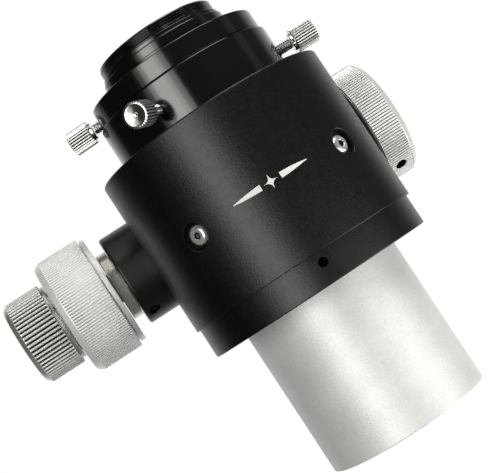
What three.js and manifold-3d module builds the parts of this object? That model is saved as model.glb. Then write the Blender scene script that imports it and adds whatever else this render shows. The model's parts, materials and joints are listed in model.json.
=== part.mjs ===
import * as THREE from 'three';
import { mergeVertices } from 'three/addons/utils/BufferGeometryUtils.js';
import Module from 'manifold-3d';

// Dual-speed two-inch Crayford focuser for a telescope, in millimetres.
// +Z is the optical axis, pointing to the eyepiece. Z = 0 is the shoulder that meets the tube's end.
// +X points to the single coarse knob, -Y is the front, and the drive shaft runs along X at the back.
// An azimuth is an angle about Z from the front (-Y) towards +X.

// ---------- driving dimensions ----------

// Facets round a turned part
const WIDE = 48;
const MIDDLE = 32;
const SMALL = 16;
const TINY = 10;
const KNOB_FACETS = 40;

// Running and assembly gaps between neighbouring parts, on the radius or along an axis
const GAP = 0.2;
const ROLLING_GAP = 0.05;

// Housing body
const BODY_R = 40.2;
const BODY_TOP = 54.35;
const BODY_EDGE = 0.7;
const CAVITY_R = 36;
const LIP_R = 28.3;
const LIP_THICK = 6;

// Ring that enters the telescope tube, and is seated in a socket in the body
const RING_R = 39.15;
const RING_DEPTH = 10.05;
const RING_BORE_R = 28.4;
const RING_NECK_TOP = 4.8;
const RING_EDGE = 0.5;
const RING_SOCKET_R = 39.35;
const RING_SOCKET_TOP = 5;
const RING_HOLE_R = 1.6;
const RING_HOLE_Z = -3.35;
const RING_HOLE_FLOOR_R = 33;
const THREE_WAY = [0, 120, 240];

// Drawtube, with its two-inch bore and the flat that the drive shaft presses on
const TUBE_R = 27.75;
const TUBE_BORE_R = 25.4;
const TUBE_BOTTOM = -60.35;
const TUBE_TOP = 58.4;
const TUBE_EDGE = 0.35;
const FLAT_FROM = -50;
const FLAT_TO = 50;
const TRAVEL = 45;

// Stop screw that ends the travel under the ring
const STOP_HEAD_R = 2.2;
const STOP_HEAD_THICK = 1.5;
const STOP_SHANK_R = 0.95;
const STOP_CLEARANCE = 0.35;
const STOP_Z = -RING_DEPTH - TRAVEL - STOP_CLEARANCE - STOP_HEAD_R;

// Drive shaft
const SHAFT_Y = 29.87;
const SHAFT_Z = 28.22;
const SHAFT_R = 3;
const SHAFT_LEFT = -40.8;
const SHAFT_RIGHT = 52.5;
const FLAT_Y = SHAFT_Y - SHAFT_R - ROLLING_GAP;

// Rollers: two on each side of the front, at the height of their clamping screw
const ROLLER_AZIMUTHS = { left: -41.2, right: 41.2 };
const ROLLER_R = 3.5;
const ROLLER_WIDTH = 3;
const ROLLER_BORE_R = 1.6;
const AXLE_R = 1.45;
const ROLLER_LEVEL = 23.55;
const ROLLER_STEP = 11.5;
const ROLLER_CENTRE_R = TUBE_R + ROLLER_R + ROLLING_GAP;
const BLOCK_INNER_R = 29;
const BLOCK_OUTER_R = 35.2;
const BLOCK_HALF_WIDTH = 6;
const BLOCK_HALF_HEIGHT = 16.5;
const BLOCK_SLOT_HALF_WIDTH = 1.8;
const BLOCK_SLOT_HALF_HEIGHT = 4.2;

// Button-head screws that hold the roller blocks
const BUTTON_HEAD_R = 2.95;
const BUTTON_THICK = 1.65;
const BUTTON_SINK = 0.9;
const BUTTON_SHANK_R = 1.4;
const BUTTON_SHANK_TIP_R = 29.8;
const BUTTON_WELL_R = 4.45;
const BUTTON_SOCKET_R = 1.15;
const BUTTON_SOCKET_DEEP = 1;

// Eyepiece holder on the drawtube's end
const HOLDER_R = 31;
const HOLDER_BOTTOM = 54.75;
const HOLDER_TOP = 69.75;
const HOLDER_BORE_R = 25.45;
const HOLDER_SOCKET_R = 27.95;
const HOLDER_SOCKET_TOP = 58.7;
const HOLDER_EDGE = 0.5;
const HOLDER_GROOVE = { r: 27.1, from: 59.5, to: 64.4 };
const TWO_INCH_RING = { inner: 25.65, outer: 26.9, from: 59.75, to: 64.15 };

// Reducing adapter with the small bore and the camera thread
const ADAPTER_R = 30;
const ADAPTER_BOTTOM = 70.1;
const ADAPTER_FLANGE_TOP = 76.75;
const ADAPTER_EDGE = 0.5;
const BARREL_R = 25.3;
const BARREL_BOTTOM = 45.1;
const STEP_R = 22.4;
const STEP_TOP = 81.65;
const THREAD_ROOT_R = 20.6;
const THREAD_R = 21;
const THREAD_FROM = 83.45;
const THREAD_TOP = 87;
const THREAD_EDGE = 0.4;
const SMALL_BORE_R = 15.925;
const ADAPTER_GROOVE = { r: 17.4, from: 70.9, to: 76 };
const SMALL_RING = { inner: 16.05, outer: 17.2, from: 71.15, to: 75.75 };
const RING_SPLIT = 1.5;

// Thumb screws. Each stands out of its seat by the length of bare thread called out.
const THUMB_R = 4.05;
const THUMB_LONG = 8.8;
const THUMB_EDGE = 0.7;
const THUMB_COLLAR_R = 3;
const THUMB_COLLAR_LONG = 1;
const THUMB_DIMPLE_R = 1.6;
const THUMB_DIMPLE_DEEP = 0.6;
const STUD_R = 1.85;
const STUD_HOLE_R = 2.05;
const HOLDER_SCREW_Z = 61.95;
const HOLDER_STUD_LONG = 9.35;
const HOLDER_SCREWS = [
  { name: 'front', azimuth: -29, out: 6.6 },
  { name: 'right', azimuth: 91, out: 5.5 },
  { name: 'back', azimuth: 211, out: 5.5 },
];
const ADAPTER_SCREW = { azimuth: -103, z: 73.45, out: 3, long: 15.4 };
const LOCK_SCREW = { azimuth: 180, z: 45, out: 3.4, long: 14.6 };
const LOCK_PAD_R = 2.4;
const LOCK_PAD_THICK = 1.4;

// Drive housing: a cross cylinder saddled on the back of the body
const DRIVE_R = 16.58;
const DRIVE_LEFT = -50.5;
const DRIVE_RIGHT = 43.9;
const DRIVE_EDGE = 1;
const SADDLE_R = BODY_R + 0.3;
const SHAFT_BORE_R = 6.2;
const BODY_SHAFT_BORE_R = 6;
const DRIVE_LIP_R = 4;
const DRIVE_LIP_FROM = 42.6;
const REDUCER_BORE_R = 11.2;
const REDUCER_BORE_TO = -37.7;
const BEARING_R = 6;
const BEARING_BORE_R = 3.15;
const BEARING_WIDE = 4;
const LEFT_BEARING_X = -37.4;
const RIGHT_BEARING_X = 38.2;
const SADDLE_SCREW = { x: 16, dz: 9.5, headR: 2.75, wellR: 3.05, seatY: 40.2, thick: 3, shankR: 1.4, tipY: 33.2 };

// Pressure pad behind the shaft, and the set screw that loads it
const PAD = { halfX: 5, fromY: 31.2, toY: 35.3, halfZ: 4.5 };
const TENSION_SCREW = { r: 1.9, holeR: 2.1, fromY: 35.5, toY: 44.6 };

// Ten-to-one ball reducer in the left end of the drive housing
const RACE_R = 9.1;
const CASE_SPIGOT_R = 11;
const CASE_FLANGE_R = 12.53;
const CASE_INNER_X = -37.9;
const CASE_SHOULDER_X = -50.8;
const CASE_OUTER_X = -54.3;
const CASE_WALL_X = -51.75;
const CASE_MOUTH_R = 5.9;
const CASE_EDGE = 0.4;
const BALL_R = 3.9;
const BALL_ORBIT_R = 5;
const BALL_X = -45.2;
const SUN_R = 0.95;
const CARRIER_R = 8.7;
const CARRIER_DISCS = { inner: [-41, -38], outer: [-51.4, -49.4] };
const CARRIER_PIN_R = 1.1;
const CARRIER_PIN_ORBIT_R = 7.4;
const SLEEVE_R = 5.5;
const SLEEVE_END = -72;
const FINE_SHAFT_R = 2;
const FINE_SHAFT_FROM = -49.5;
const FINE_SHAFT_END = -87.5;
const SUN_END = -41.3;
const SLIDE_BORE_R = 2.25;

// Knobs. The ribbed band is a plain band at the radius of the ribs' crests.
const COARSE_R = 21.05;
const COARSE_RIM_R = 20;
const FINE_R = 15.1;
const FINE_RIM_R = 14;
const KNOB_EDGE = 0.9;
const BAND_EDGE = 0.3;
const LEFT_KNOB = { from: -54.6, bandFrom: -56.7, bandTo: -71.2, to: -73.8, boreR: 5.75, boreTo: -75 };
const RIGHT_KNOB = { from: 44.64, bandFrom: 44.94, bandTo: 54.25, to: 56.3, boreR: 3.25, boreTo: 53 };
const FINE_KNOB = { from: -74.2, bandFrom: -75.7, bandTo: -88.1, to: -90, boreR: 2.25, boreTo: -88 };

// Set screws: where each crosses the shaft, its direction from the shaft, and its reach
const SET_SOCKET_R = 1.15;
const SET_SOCKET_DEEP = 1.6;
const SET_SCREWS = {
  reducer_set_screw: { x: -47.05, dy: -9.16, dz: -13.82, from: 11.25, to: 15.3, r: 1.85, holeR: 2 },
  right_knob_set_screw: { x: 49.2, dy: -10.2, dz: -18.35, from: 3.25, to: 11, r: 1.85, holeR: 2 },
  left_knob_set_screw: { x: -63.9, dy: 10.2, dz: 18.35, from: 5.75, to: 12.5, r: 1.85, holeR: 2 },
  fine_knob_set_screw: { x: -82, dy: 7.5, dz: 13, from: 2.25, to: 8.5, r: 1.45, holeR: 1.6 },
};

// ---------- materials ----------

const FINISHES = {
  satin_black: { color: '#17181a', roughness: 0.55, metalness: 0.6 },
  gloss_black: { color: '#0c0d0e', roughness: 0.22, metalness: 0.6 },
  blasted_silver: { color: '#b9bcbf', roughness: 0.5, metalness: 0.9 },
  satin_silver: { color: '#c9cbcd', roughness: 0.38, metalness: 0.9 },
  nickel: { color: '#d8d6d0', roughness: 0.2, metalness: 1 },
  polished_steel: { color: '#d9dadb', roughness: 0.12, metalness: 1 },
  stainless: { color: '#a9abad', roughness: 0.3, metalness: 1 },
  dark_steel: { color: '#3a3b3d', roughness: 0.4, metalness: 0.9 },
  brass: { color: '#b9964a', roughness: 0.35, metalness: 1 },
  white_nylon: { color: '#e4e2dc', roughness: 0.6, metalness: 0 },
};

// ---------- helpers ----------

const wasm = await Module();
wasm.setup();
const group = new THREE.Group();
group.name = 'crayford_focuser';

const radians = THREE.MathUtils.degToRad;

// A geometry made into a solid, with its faces turned outwards
function solid(geometry) {
  const bare = geometry.clone();
  bare.deleteAttribute('normal');
  bare.deleteAttribute('uv');
  const merged = mergeVertices(bare, 1e-4);
  const points = merged.attributes.position.array;
  const index = merged.index.array;
  const kept = [];
  for (let i = 0; i < index.length; i += 3) {
    const [a, b, c] = [index[i], index[i + 1], index[i + 2]];
    if (a !== b && b !== c && c !== a) kept.push(a, b, c);
  }
  const at = (n) => new THREE.Vector3(points[3 * n], points[3 * n + 1], points[3 * n + 2]);
  let volume = 0;
  for (let i = 0; i < kept.length; i += 3) {
    volume += at(kept[i]).dot(at(kept[i + 1]).cross(at(kept[i + 2])));
  }
  if (volume < 0) kept.reverse();
  const vertProperties = new Float32Array(points);
  const triVerts = new Uint32Array(kept);
  return new wasm.Manifold(new wasm.Mesh({ numProp: 3, vertProperties, triVerts }));
}

function cut(base, ...tools) {
  return tools.reduce((left, tool) => left.subtract(tool), base);
}

function join(first, ...others) {
  return others.reduce((sum, other) => sum.add(other), first);
}

function add(name, finish, shape) {
  const { vertProperties, triVerts } = shape.getMesh();
  const geometry = new THREE.BufferGeometry();
  geometry.setAttribute('position', new THREE.BufferAttribute(vertProperties, 3));
  geometry.setIndex(new THREE.BufferAttribute(triVerts, 1));
  geometry.computeVertexNormals();
  const material = new THREE.MeshStandardMaterial({ ...FINISHES[finish], flatShading: true });
  material.name = finish;
  const mesh = new THREE.Mesh(geometry, material);
  mesh.name = name;
  group.add(mesh);
}

function lathe(profile, facets) {
  return new THREE.LatheGeometry(profile.map(([r, h]) => new THREE.Vector2(r, h)), facets);
}

// Turned about Z: the profile's pairs are radius and height
function turned(profile, facets = WIDE) {
  return solid(lathe(profile, facets).rotateX(Math.PI / 2));
}

// Turned about X: the profile's pairs are radius and place along X
function turnedX(profile, facets = MIDDLE) {
  return lathe(profile, facets).rotateZ(-Math.PI / 2);
}

function closed(points) {
  return [...points, points[0]];
}

function ringProfile(inner, outer, from, to) {
  return closed([[inner, from], [outer, from], [outer, to], [inner, to]]);
}

function rodProfile(r, from, to) {
  return [[0, from], [r, from], [r, to], [0, to]];
}

function onShaft(geometry) {
  return solid(geometry.translate(0, SHAFT_Y, SHAFT_Z));
}

// Lays a piece that was made along +X on a radius of the optical axis
function radial(geometry, azimuth, z) {
  return solid(geometry.rotateZ(radians(azimuth - 90)).translate(0, 0, z));
}

function radialRod(r, from, to, azimuth, z, facets = SMALL) {
  return radial(turnedX(rodProfile(r, from, to), facets), azimuth, z);
}

// Lays a piece that was made along +X on a radius of the drive shaft
function spoke(geometry, { x, dy, dz }) {
  return solid(geometry.rotateY(-Math.PI / 2).rotateX(Math.atan2(-dy, dz)).translate(x, SHAFT_Y, SHAFT_Z));
}

function spokeHole(screw) {
  const outside = COARSE_R + 2;
  return spoke(turnedX(rodProfile(screw.holeR, screw.from - 1, outside), SMALL), screw);
}

// A rod along Y, for what is driven in from the back
function backRod(r, fromY, toY, x, z, facets = SMALL) {
  return radial(turnedX(rodProfile(r, fromY, toY), facets), 180, z).translate([x, 0, 0]);
}

function block(width, depth, height, x, y, z) {
  return new THREE.BoxGeometry(width, depth, height).translate(x, y, z);
}

// A knob with a raised band between a low rim at its inner end and a bevel at its outer end
function knob({ from, bandFrom, bandTo, to, boreR, boreTo }, bandR, rimR) {
  const inward = Math.sign(from - to);
  const body = onShaft(turnedX([
    [0, from],
    [rimR - BAND_EDGE, from],
    [rimR, from - inward * BAND_EDGE],
    [rimR, bandFrom],
    [bandR - BAND_EDGE, bandFrom],
    [bandR, bandFrom - inward * BAND_EDGE],
    [bandR, bandTo],
    [rimR, bandTo - inward * (bandR - rimR)],
    [rimR, to + inward * KNOB_EDGE],
    [rimR - KNOB_EDGE, to],
    [0, to],
  ], KNOB_FACETS));
  return body.subtract(onShaft(turnedX(rodProfile(boreR, from + inward, boreTo), SMALL)));
}

// ---------- housing ----------

function focuserBody() {
  const shell = turned(closed([
    [RING_SOCKET_R, 0],
    [BODY_R, 0],
    [BODY_R, BODY_TOP - BODY_EDGE],
    [BODY_R - BODY_EDGE, BODY_TOP],
    [LIP_R, BODY_TOP],
    [LIP_R, BODY_TOP - LIP_THICK],
    [CAVITY_R, BODY_TOP - LIP_THICK],
    [CAVITY_R, RING_SOCKET_TOP],
    [RING_SOCKET_R, RING_SOCKET_TOP],
  ]));
  const holes = [
    onShaft(turnedX(rodProfile(BODY_SHAFT_BORE_R, -BODY_R, BODY_R), MIDDLE)),
    radialRod(TENSION_SCREW.holeR, 30, BODY_R + 2, 180, SHAFT_Z),
    radialRod(STUD_HOLE_R, 30, BODY_R + 2, LOCK_SCREW.azimuth, LOCK_SCREW.z),
  ];
  for (const azimuth of Object.values(ROLLER_AZIMUTHS)) {
    const floor = BODY_R - BUTTON_SINK - BUTTON_THICK - GAP;
    holes.push(radialRod(BUTTON_WELL_R, floor, BODY_R + 2, azimuth, ROLLER_LEVEL, MIDDLE));
    holes.push(radialRod(BUTTON_SHANK_R + GAP, 30, BODY_R, azimuth, ROLLER_LEVEL));
  }
  for (const [x, z] of saddlePlaces()) {
    holes.push(backRod(SADDLE_SCREW.shankR + GAP, 26, BODY_R + 2, x, z));
  }
  return cut(shell, ...holes);
}

function spigotRing() {
  const ring = turned(closed([
    [RING_BORE_R, -RING_DEPTH],
    [RING_R - RING_EDGE, -RING_DEPTH],
    [RING_R, RING_EDGE - RING_DEPTH],
    [RING_R, RING_NECK_TOP],
    [RING_BORE_R, RING_NECK_TOP],
  ]));
  const holes = THREE_WAY.map((azimuth) => (
    radialRod(RING_HOLE_R, RING_HOLE_FLOOR_R, RING_R + 2, azimuth, RING_HOLE_Z)
  ));
  return cut(ring, ...holes);
}

function saddlePlaces() {
  const { x, dz } = SADDLE_SCREW;
  return [[-x, SHAFT_Z - dz], [x, SHAFT_Z - dz], [-x, SHAFT_Z + dz], [x, SHAFT_Z + dz]];
}

function driveHousing() {
  const bar = onShaft(turnedX([
    [0, DRIVE_LEFT],
    [DRIVE_R - DRIVE_EDGE, DRIVE_LEFT],
    [DRIVE_R, DRIVE_LEFT + DRIVE_EDGE],
    [DRIVE_R, DRIVE_RIGHT - DRIVE_EDGE],
    [DRIVE_R - DRIVE_EDGE, DRIVE_RIGHT],
    [0, DRIVE_RIGHT],
  ], WIDE));
  const holes = [
    turned(rodProfile(SADDLE_R, -1, BODY_TOP + 1)),
    onShaft(turnedX(rodProfile(SHAFT_BORE_R, DRIVE_LEFT - 1, DRIVE_LIP_FROM))),
    onShaft(turnedX(rodProfile(DRIVE_LIP_R, 0, DRIVE_RIGHT + 1))),
    onShaft(turnedX(rodProfile(REDUCER_BORE_R, DRIVE_LEFT - 1, REDUCER_BORE_TO))),
    spokeHole(SET_SCREWS.reducer_set_screw),
    radialRod(TENSION_SCREW.holeR, BODY_R - 2, BODY_R + 12, 180, SHAFT_Z),
  ];
  for (const [x, z] of saddlePlaces()) {
    holes.push(backRod(SADDLE_SCREW.shankR + GAP, 30, 50, x, z));
    holes.push(backRod(SADDLE_SCREW.wellR, SADDLE_SCREW.seatY, 50, x, z));
  }
  return cut(bar, ...holes);
}

// ---------- screws ----------

// A screw along +X with its head outermost and a hexagon socket in its end
function socketScrew(shankR, tip, headFrom, headR, headTo, socketR, socketDeep) {
  const screw = solid(turnedX([
    [0, tip],
    [shankR, tip],
    [shankR, headFrom],
    [headR, headFrom],
    [headR, headTo],
    [0, headTo],
  ], SMALL));
  const socket = solid(turnedX(rodProfile(socketR, headTo - socketDeep, headTo + 1), 6));
  return screw.subtract(socket);
}

function buttonScrew(azimuth) {
  const top = BODY_R - BUTTON_SINK;
  const under = top - BUTTON_THICK;
  const crown = BUTTON_HEAD_R * 0.62;
  const screw = turnedX([
    [0, BUTTON_SHANK_TIP_R],
    [BUTTON_SHANK_R, BUTTON_SHANK_TIP_R],
    [BUTTON_SHANK_R, under],
    [BUTTON_HEAD_R, under],
    [BUTTON_HEAD_R * 0.94, under + BUTTON_THICK * 0.45],
    [BUTTON_HEAD_R * 0.82, under + BUTTON_THICK * 0.78],
    [crown, top],
    [0, top],
  ], SMALL);
  const socket = turnedX(rodProfile(BUTTON_SOCKET_R, top - BUTTON_SOCKET_DEEP, top + 1), 6);
  return radial(screw, azimuth, ROLLER_LEVEL).subtract(radial(socket, azimuth, ROLLER_LEVEL));
}

function thumbStud(seatR, { azimuth, out }, z, long) {
  const collar = seatR + out - GAP;
  return radialRod(STUD_R, collar - long, collar, azimuth, z, TINY);
}

function thumbHead(seatR, { azimuth, out }, z) {
  const start = seatR + out;
  const shoulder = start + THUMB_COLLAR_LONG;
  const end = shoulder + THUMB_LONG - THUMB_COLLAR_LONG;
  const head = turnedX([
    [0, start],
    [THUMB_COLLAR_R, start],
    [THUMB_COLLAR_R, shoulder],
    [THUMB_R - THUMB_EDGE / 2, shoulder],
    [THUMB_R, shoulder + THUMB_EDGE / 2],
    [THUMB_R, end - THUMB_EDGE],
    [THUMB_R - THUMB_EDGE, end],
    [THUMB_DIMPLE_R, end],
    [0, end - THUMB_DIMPLE_DEEP],
  ], SMALL);
  return radial(head, azimuth, z);
}

function setScrew(name) {
  const screw = SET_SCREWS[name];
  const rod = spoke(turnedX(rodProfile(screw.r, screw.from, screw.to), TINY), screw);
  const deep = screw.to - SET_SOCKET_DEEP;
  const socketR = Math.min(SET_SOCKET_R, screw.r * 0.62);
  return rod.subtract(spoke(turnedX(rodProfile(socketR, deep, screw.to + 1), 6), screw));
}

// ---------- rollers ----------

function rollerBlock(azimuth) {
  const middle = (BLOCK_INNER_R + BLOCK_OUTER_R) / 2;
  const thick = BLOCK_OUTER_R - BLOCK_INNER_R;
  const body = radial(block(thick, 2 * BLOCK_HALF_WIDTH, 2 * BLOCK_HALF_HEIGHT, middle, 0, 0), azimuth, ROLLER_LEVEL);
  const cuts = [radialRod(BUTTON_SHANK_R + GAP, BLOCK_INNER_R - 1, BLOCK_OUTER_R + 1, azimuth, ROLLER_LEVEL, TINY)];
  for (const side of [-1, 1]) {
    const level = ROLLER_LEVEL + side * ROLLER_STEP;
    const slot = block(thick + 2, 2 * BLOCK_SLOT_HALF_WIDTH, 2 * BLOCK_SLOT_HALF_HEIGHT, middle, 0, 0);
    cuts.push(radial(slot, azimuth, level));
    cuts.push(acrossTube(rodProfile(ROLLER_BORE_R, -BLOCK_HALF_WIDTH - 1, BLOCK_HALF_WIDTH + 1), azimuth, level, TINY));
  }
  return cut(body, ...cuts);
}

// A turned piece whose axis lies across the tube, at the rollers' distance from the optical axis
function acrossTube(profile, azimuth, z, facets) {
  const piece = lathe(profile, facets).translate(ROLLER_CENTRE_R, 0, 0);
  return radial(piece, azimuth, z);
}

// ---------- eyepiece end ----------

function drawtube() {
  const tube = turned(closed([
    [TUBE_BORE_R, TUBE_BOTTOM],
    [TUBE_R - TUBE_EDGE, TUBE_BOTTOM],
    [TUBE_R, TUBE_BOTTOM + TUBE_EDGE],
    [TUBE_R, TUBE_TOP],
    [TUBE_BORE_R, TUBE_TOP],
  ]));
  const depth = 4;
  const flat = solid(block(30, depth, FLAT_TO - FLAT_FROM, 0, FLAT_Y + depth / 2, (FLAT_FROM + FLAT_TO) / 2));
  const tapped = radialRod(STOP_SHANK_R + GAP / 2, TUBE_BORE_R - 1, TUBE_R + 1, 180, STOP_Z, TINY);
  return cut(tube, flat, tapped);
}

function eyepieceHolder() {
  const ring = turned(closed([
    [HOLDER_SOCKET_R, HOLDER_BOTTOM],
    [HOLDER_R - HOLDER_EDGE, HOLDER_BOTTOM],
    [HOLDER_R, HOLDER_BOTTOM + HOLDER_EDGE],
    [HOLDER_R, HOLDER_TOP - HOLDER_EDGE],
    [HOLDER_R - HOLDER_EDGE, HOLDER_TOP],
    [HOLDER_BORE_R, HOLDER_TOP],
    [HOLDER_BORE_R, HOLDER_GROOVE.to],
    [HOLDER_GROOVE.r, HOLDER_GROOVE.to],
    [HOLDER_GROOVE.r, HOLDER_GROOVE.from],
    [HOLDER_BORE_R, HOLDER_GROOVE.from],
    [HOLDER_BORE_R, HOLDER_SOCKET_TOP],
    [HOLDER_SOCKET_R, HOLDER_SOCKET_TOP],
  ]));
  const holes = HOLDER_SCREWS.map(({ azimuth }) => (
    radialRod(STUD_HOLE_R, HOLDER_BORE_R, HOLDER_R + 2, azimuth, HOLDER_SCREW_Z)
  ));
  return cut(ring, ...holes);
}

function reducingAdapter() {
  const piece = turned(closed([
    [SMALL_BORE_R, BARREL_BOTTOM],
    [BARREL_R - ADAPTER_EDGE, BARREL_BOTTOM],
    [BARREL_R, BARREL_BOTTOM + ADAPTER_EDGE],
    [BARREL_R, ADAPTER_BOTTOM],
    [ADAPTER_R - ADAPTER_EDGE, ADAPTER_BOTTOM],
    [ADAPTER_R, ADAPTER_BOTTOM + ADAPTER_EDGE],
    [ADAPTER_R, ADAPTER_FLANGE_TOP - ADAPTER_EDGE],
    [ADAPTER_R - ADAPTER_EDGE, ADAPTER_FLANGE_TOP],
    [STEP_R, ADAPTER_FLANGE_TOP],
    [STEP_R, STEP_TOP],
    [THREAD_ROOT_R, THREAD_FROM],
    [THREAD_R, THREAD_FROM + THREAD_EDGE],
    [THREAD_R, THREAD_TOP - THREAD_EDGE],
    [THREAD_R - THREAD_EDGE, THREAD_TOP],
    [SMALL_BORE_R, THREAD_TOP],
    [SMALL_BORE_R, ADAPTER_GROOVE.to],
    [ADAPTER_GROOVE.r, ADAPTER_GROOVE.to],
    [ADAPTER_GROOVE.r, ADAPTER_GROOVE.from],
    [SMALL_BORE_R, ADAPTER_GROOVE.from],
  ]));
  const { azimuth, z } = ADAPTER_SCREW;
  return piece.subtract(radialRod(STUD_HOLE_R, SMALL_BORE_R, ADAPTER_R + 2, azimuth, z));
}

function splitRing({ inner, outer, from, to }) {
  const split = block(outer, RING_SPLIT, 2 * (to - from), outer, 0, (from + to) / 2);
  return turned(ringProfile(inner, outer, from, to), MIDDLE).subtract(solid(split));
}

// ---------- reducer ----------

function reducerCase() {
  return onShaft(turnedX(closed([
    [CASE_MOUTH_R, CASE_OUTER_X],
    [CASE_FLANGE_R - CASE_EDGE, CASE_OUTER_X],
    [CASE_FLANGE_R, CASE_OUTER_X + CASE_EDGE],
    [CASE_FLANGE_R, CASE_SHOULDER_X],
    [CASE_SPIGOT_R, CASE_SHOULDER_X],
    [CASE_SPIGOT_R, CASE_INNER_X],
    [RACE_R, CASE_INNER_X],
    [RACE_R, CASE_WALL_X],
    [CASE_MOUTH_R, CASE_WALL_X],
  ])));
}

function onOrbit(geometry, orbitR, angle) {
  const turn = radians(angle);
  return onShaft(geometry.translate(0, orbitR * Math.cos(turn), orbitR * Math.sin(turn)));
}

function reducerCarrier() {
  const { inner, outer } = CARRIER_DISCS;
  const pieces = [
    onShaft(turnedX(rodProfile(CARRIER_R, ...inner), SMALL)),
    onShaft(turnedX(rodProfile(CARRIER_R, ...outer), SMALL)),
    onShaft(turnedX(rodProfile(SLEEVE_R, SLEEVE_END, outer[0] + 1), SMALL)),
  ];
  for (const angle of THREE_WAY) {
    const pin = turnedX(rodProfile(CARRIER_PIN_R, outer[1] - 1, inner[0] + 1), TINY);
    pieces.push(onOrbit(pin, CARRIER_PIN_ORBIT_R, angle + 60));
  }
  const shaftSocket = onShaft(turnedX(rodProfile(BEARING_BORE_R, inner[0] - 1, inner[1] + 1), SMALL));
  const throughBore = onShaft(turnedX(rodProfile(SLIDE_BORE_R, SLEEVE_END - 1, outer[1] + 1), SMALL));
  return cut(join(...pieces), shaftSocket, throughBore);
}

function fineShaft() {
  return onShaft(turnedX([
    [0, FINE_SHAFT_END],
    [FINE_SHAFT_R, FINE_SHAFT_END],
    [FINE_SHAFT_R, FINE_SHAFT_FROM],
    [SUN_R, FINE_SHAFT_FROM],
    [SUN_R, SUN_END],
    [0, SUN_END],
  ], SMALL));
}

// ---------- assembly ----------

add('focuser_body', 'satin_black', focuserBody());
add('tube_spigot_ring', 'satin_black', spigotRing());
add('drive_housing', 'satin_black', driveHousing());

for (const [side, azimuth] of Object.entries(ROLLER_AZIMUTHS)) {
  add(`roller_block_${side}`, 'satin_black', rollerBlock(azimuth));
  add(`roller_screw_${side}`, 'stainless', buttonScrew(azimuth));
  for (const [level, way] of [['lower', -1], ['upper', 1]]) {
    const z = ROLLER_LEVEL + way * ROLLER_STEP;
    const half = ROLLER_WIDTH / 2;
    const roller = ringProfile(ROLLER_BORE_R, ROLLER_R, -half, half);
    add(`roller_${side}_${level}`, 'stainless', acrossTube(roller, azimuth, z, SMALL));
    const axle = rodProfile(AXLE_R, -BLOCK_HALF_WIDTH, BLOCK_HALF_WIDTH);
    add(`roller_axle_${side}_${level}`, 'dark_steel', acrossTube(axle, azimuth, z, TINY));
  }
}

saddlePlaces().forEach(([x, z], i) => {
  const { seatY, shankR, headR, thick, tipY } = SADDLE_SCREW;
  const under = seatY + GAP;
  const screw = socketScrew(shankR, tipY, under, headR, under + thick, 1.3, 1.4);
  add(`saddle_screw_${i + 1}`, 'dark_steel', screw.rotate([0, 0, 90]).translate([x, 0, z]));
});

for (const [side, x] of [['left', LEFT_BEARING_X], ['right', RIGHT_BEARING_X]]) {
  const ring = ringProfile(BEARING_BORE_R, BEARING_R, x, x + BEARING_WIDE);
  add(`shaft_bearing_${side}`, 'stainless', onShaft(turnedX(ring, SMALL)));
}

const pad = solid(block(
  2 * PAD.halfX,
  PAD.toY - PAD.fromY,
  2 * PAD.halfZ,
  0,
  (PAD.fromY + PAD.toY) / 2,
  SHAFT_Z,
));
const padGroove = onShaft(turnedX(rodProfile(SHAFT_R + GAP / 2, -BODY_R, BODY_R), SMALL));
add('pressure_pad', 'brass', pad.subtract(padGroove));

const tension = radialRod(TENSION_SCREW.r, TENSION_SCREW.fromY, TENSION_SCREW.toY, 180, SHAFT_Z, TINY);
const tensionSocket = radialRod(SET_SOCKET_R, TENSION_SCREW.toY - SET_SOCKET_DEEP, BODY_R + 9, 180, SHAFT_Z, 6);
add('tension_screw', 'dark_steel', tension.subtract(tensionSocket));

add('lock_screw_stud', 'stainless', thumbStud(BODY_R, LOCK_SCREW, LOCK_SCREW.z, LOCK_SCREW.long));
add('lock_screw_head', 'polished_steel', thumbHead(BODY_R, LOCK_SCREW, LOCK_SCREW.z));
const lockTip = BODY_R + LOCK_SCREW.out - GAP - LOCK_SCREW.long;
const lockPad = radialRod(LOCK_PAD_R, lockTip - GAP - LOCK_PAD_THICK, lockTip - GAP, 180, LOCK_SCREW.z, TINY);
add('lock_pad', 'white_nylon', lockPad);

add('drawtube', 'blasted_silver', drawtube());
const stopSeat = TUBE_R + GAP;
const stopScrew = socketScrew(
  STOP_SHANK_R,
  TUBE_BORE_R + GAP,
  stopSeat,
  STOP_HEAD_R,
  stopSeat + STOP_HEAD_THICK,
  0.9,
  0.9,
);
add('travel_stop_screw', 'stainless', stopScrew.rotate([0, 0, 90]).translate([0, 0, STOP_Z]));
add('eyepiece_holder', 'gloss_black', eyepieceHolder());
add('compression_ring_two_inch', 'brass', splitRing(TWO_INCH_RING));
for (const screw of HOLDER_SCREWS) {
  add(`holder_screw_${screw.name}_stud`, 'stainless', thumbStud(HOLDER_R, screw, HOLDER_SCREW_Z, HOLDER_STUD_LONG));
  add(`holder_screw_${screw.name}_head`, 'polished_steel', thumbHead(HOLDER_R, screw, HOLDER_SCREW_Z));
}

add('reducing_adapter', 'gloss_black', reducingAdapter());
add('compression_ring_small', 'brass', splitRing(SMALL_RING));
add('adapter_screw_stud', 'stainless', thumbStud(ADAPTER_R, ADAPTER_SCREW, ADAPTER_SCREW.z, ADAPTER_SCREW.long));
add('adapter_screw_head', 'polished_steel', thumbHead(ADAPTER_R, ADAPTER_SCREW, ADAPTER_SCREW.z));

add('drive_shaft', 'stainless', onShaft(turnedX(rodProfile(SHAFT_R, SHAFT_LEFT, SHAFT_RIGHT), MIDDLE)));
add('reducer_case', 'polished_steel', reducerCase());
add('reducer_carrier', 'dark_steel', reducerCarrier());
THREE_WAY.forEach((angle, i) => {
  const ball = new THREE.SphereGeometry(BALL_R, 10, 8).translate(BALL_X, 0, 0);
  add(`reducer_ball_${i + 1}`, 'polished_steel', onOrbit(ball, BALL_ORBIT_R, angle));
});
add('fine_shaft', 'stainless', fineShaft());

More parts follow.
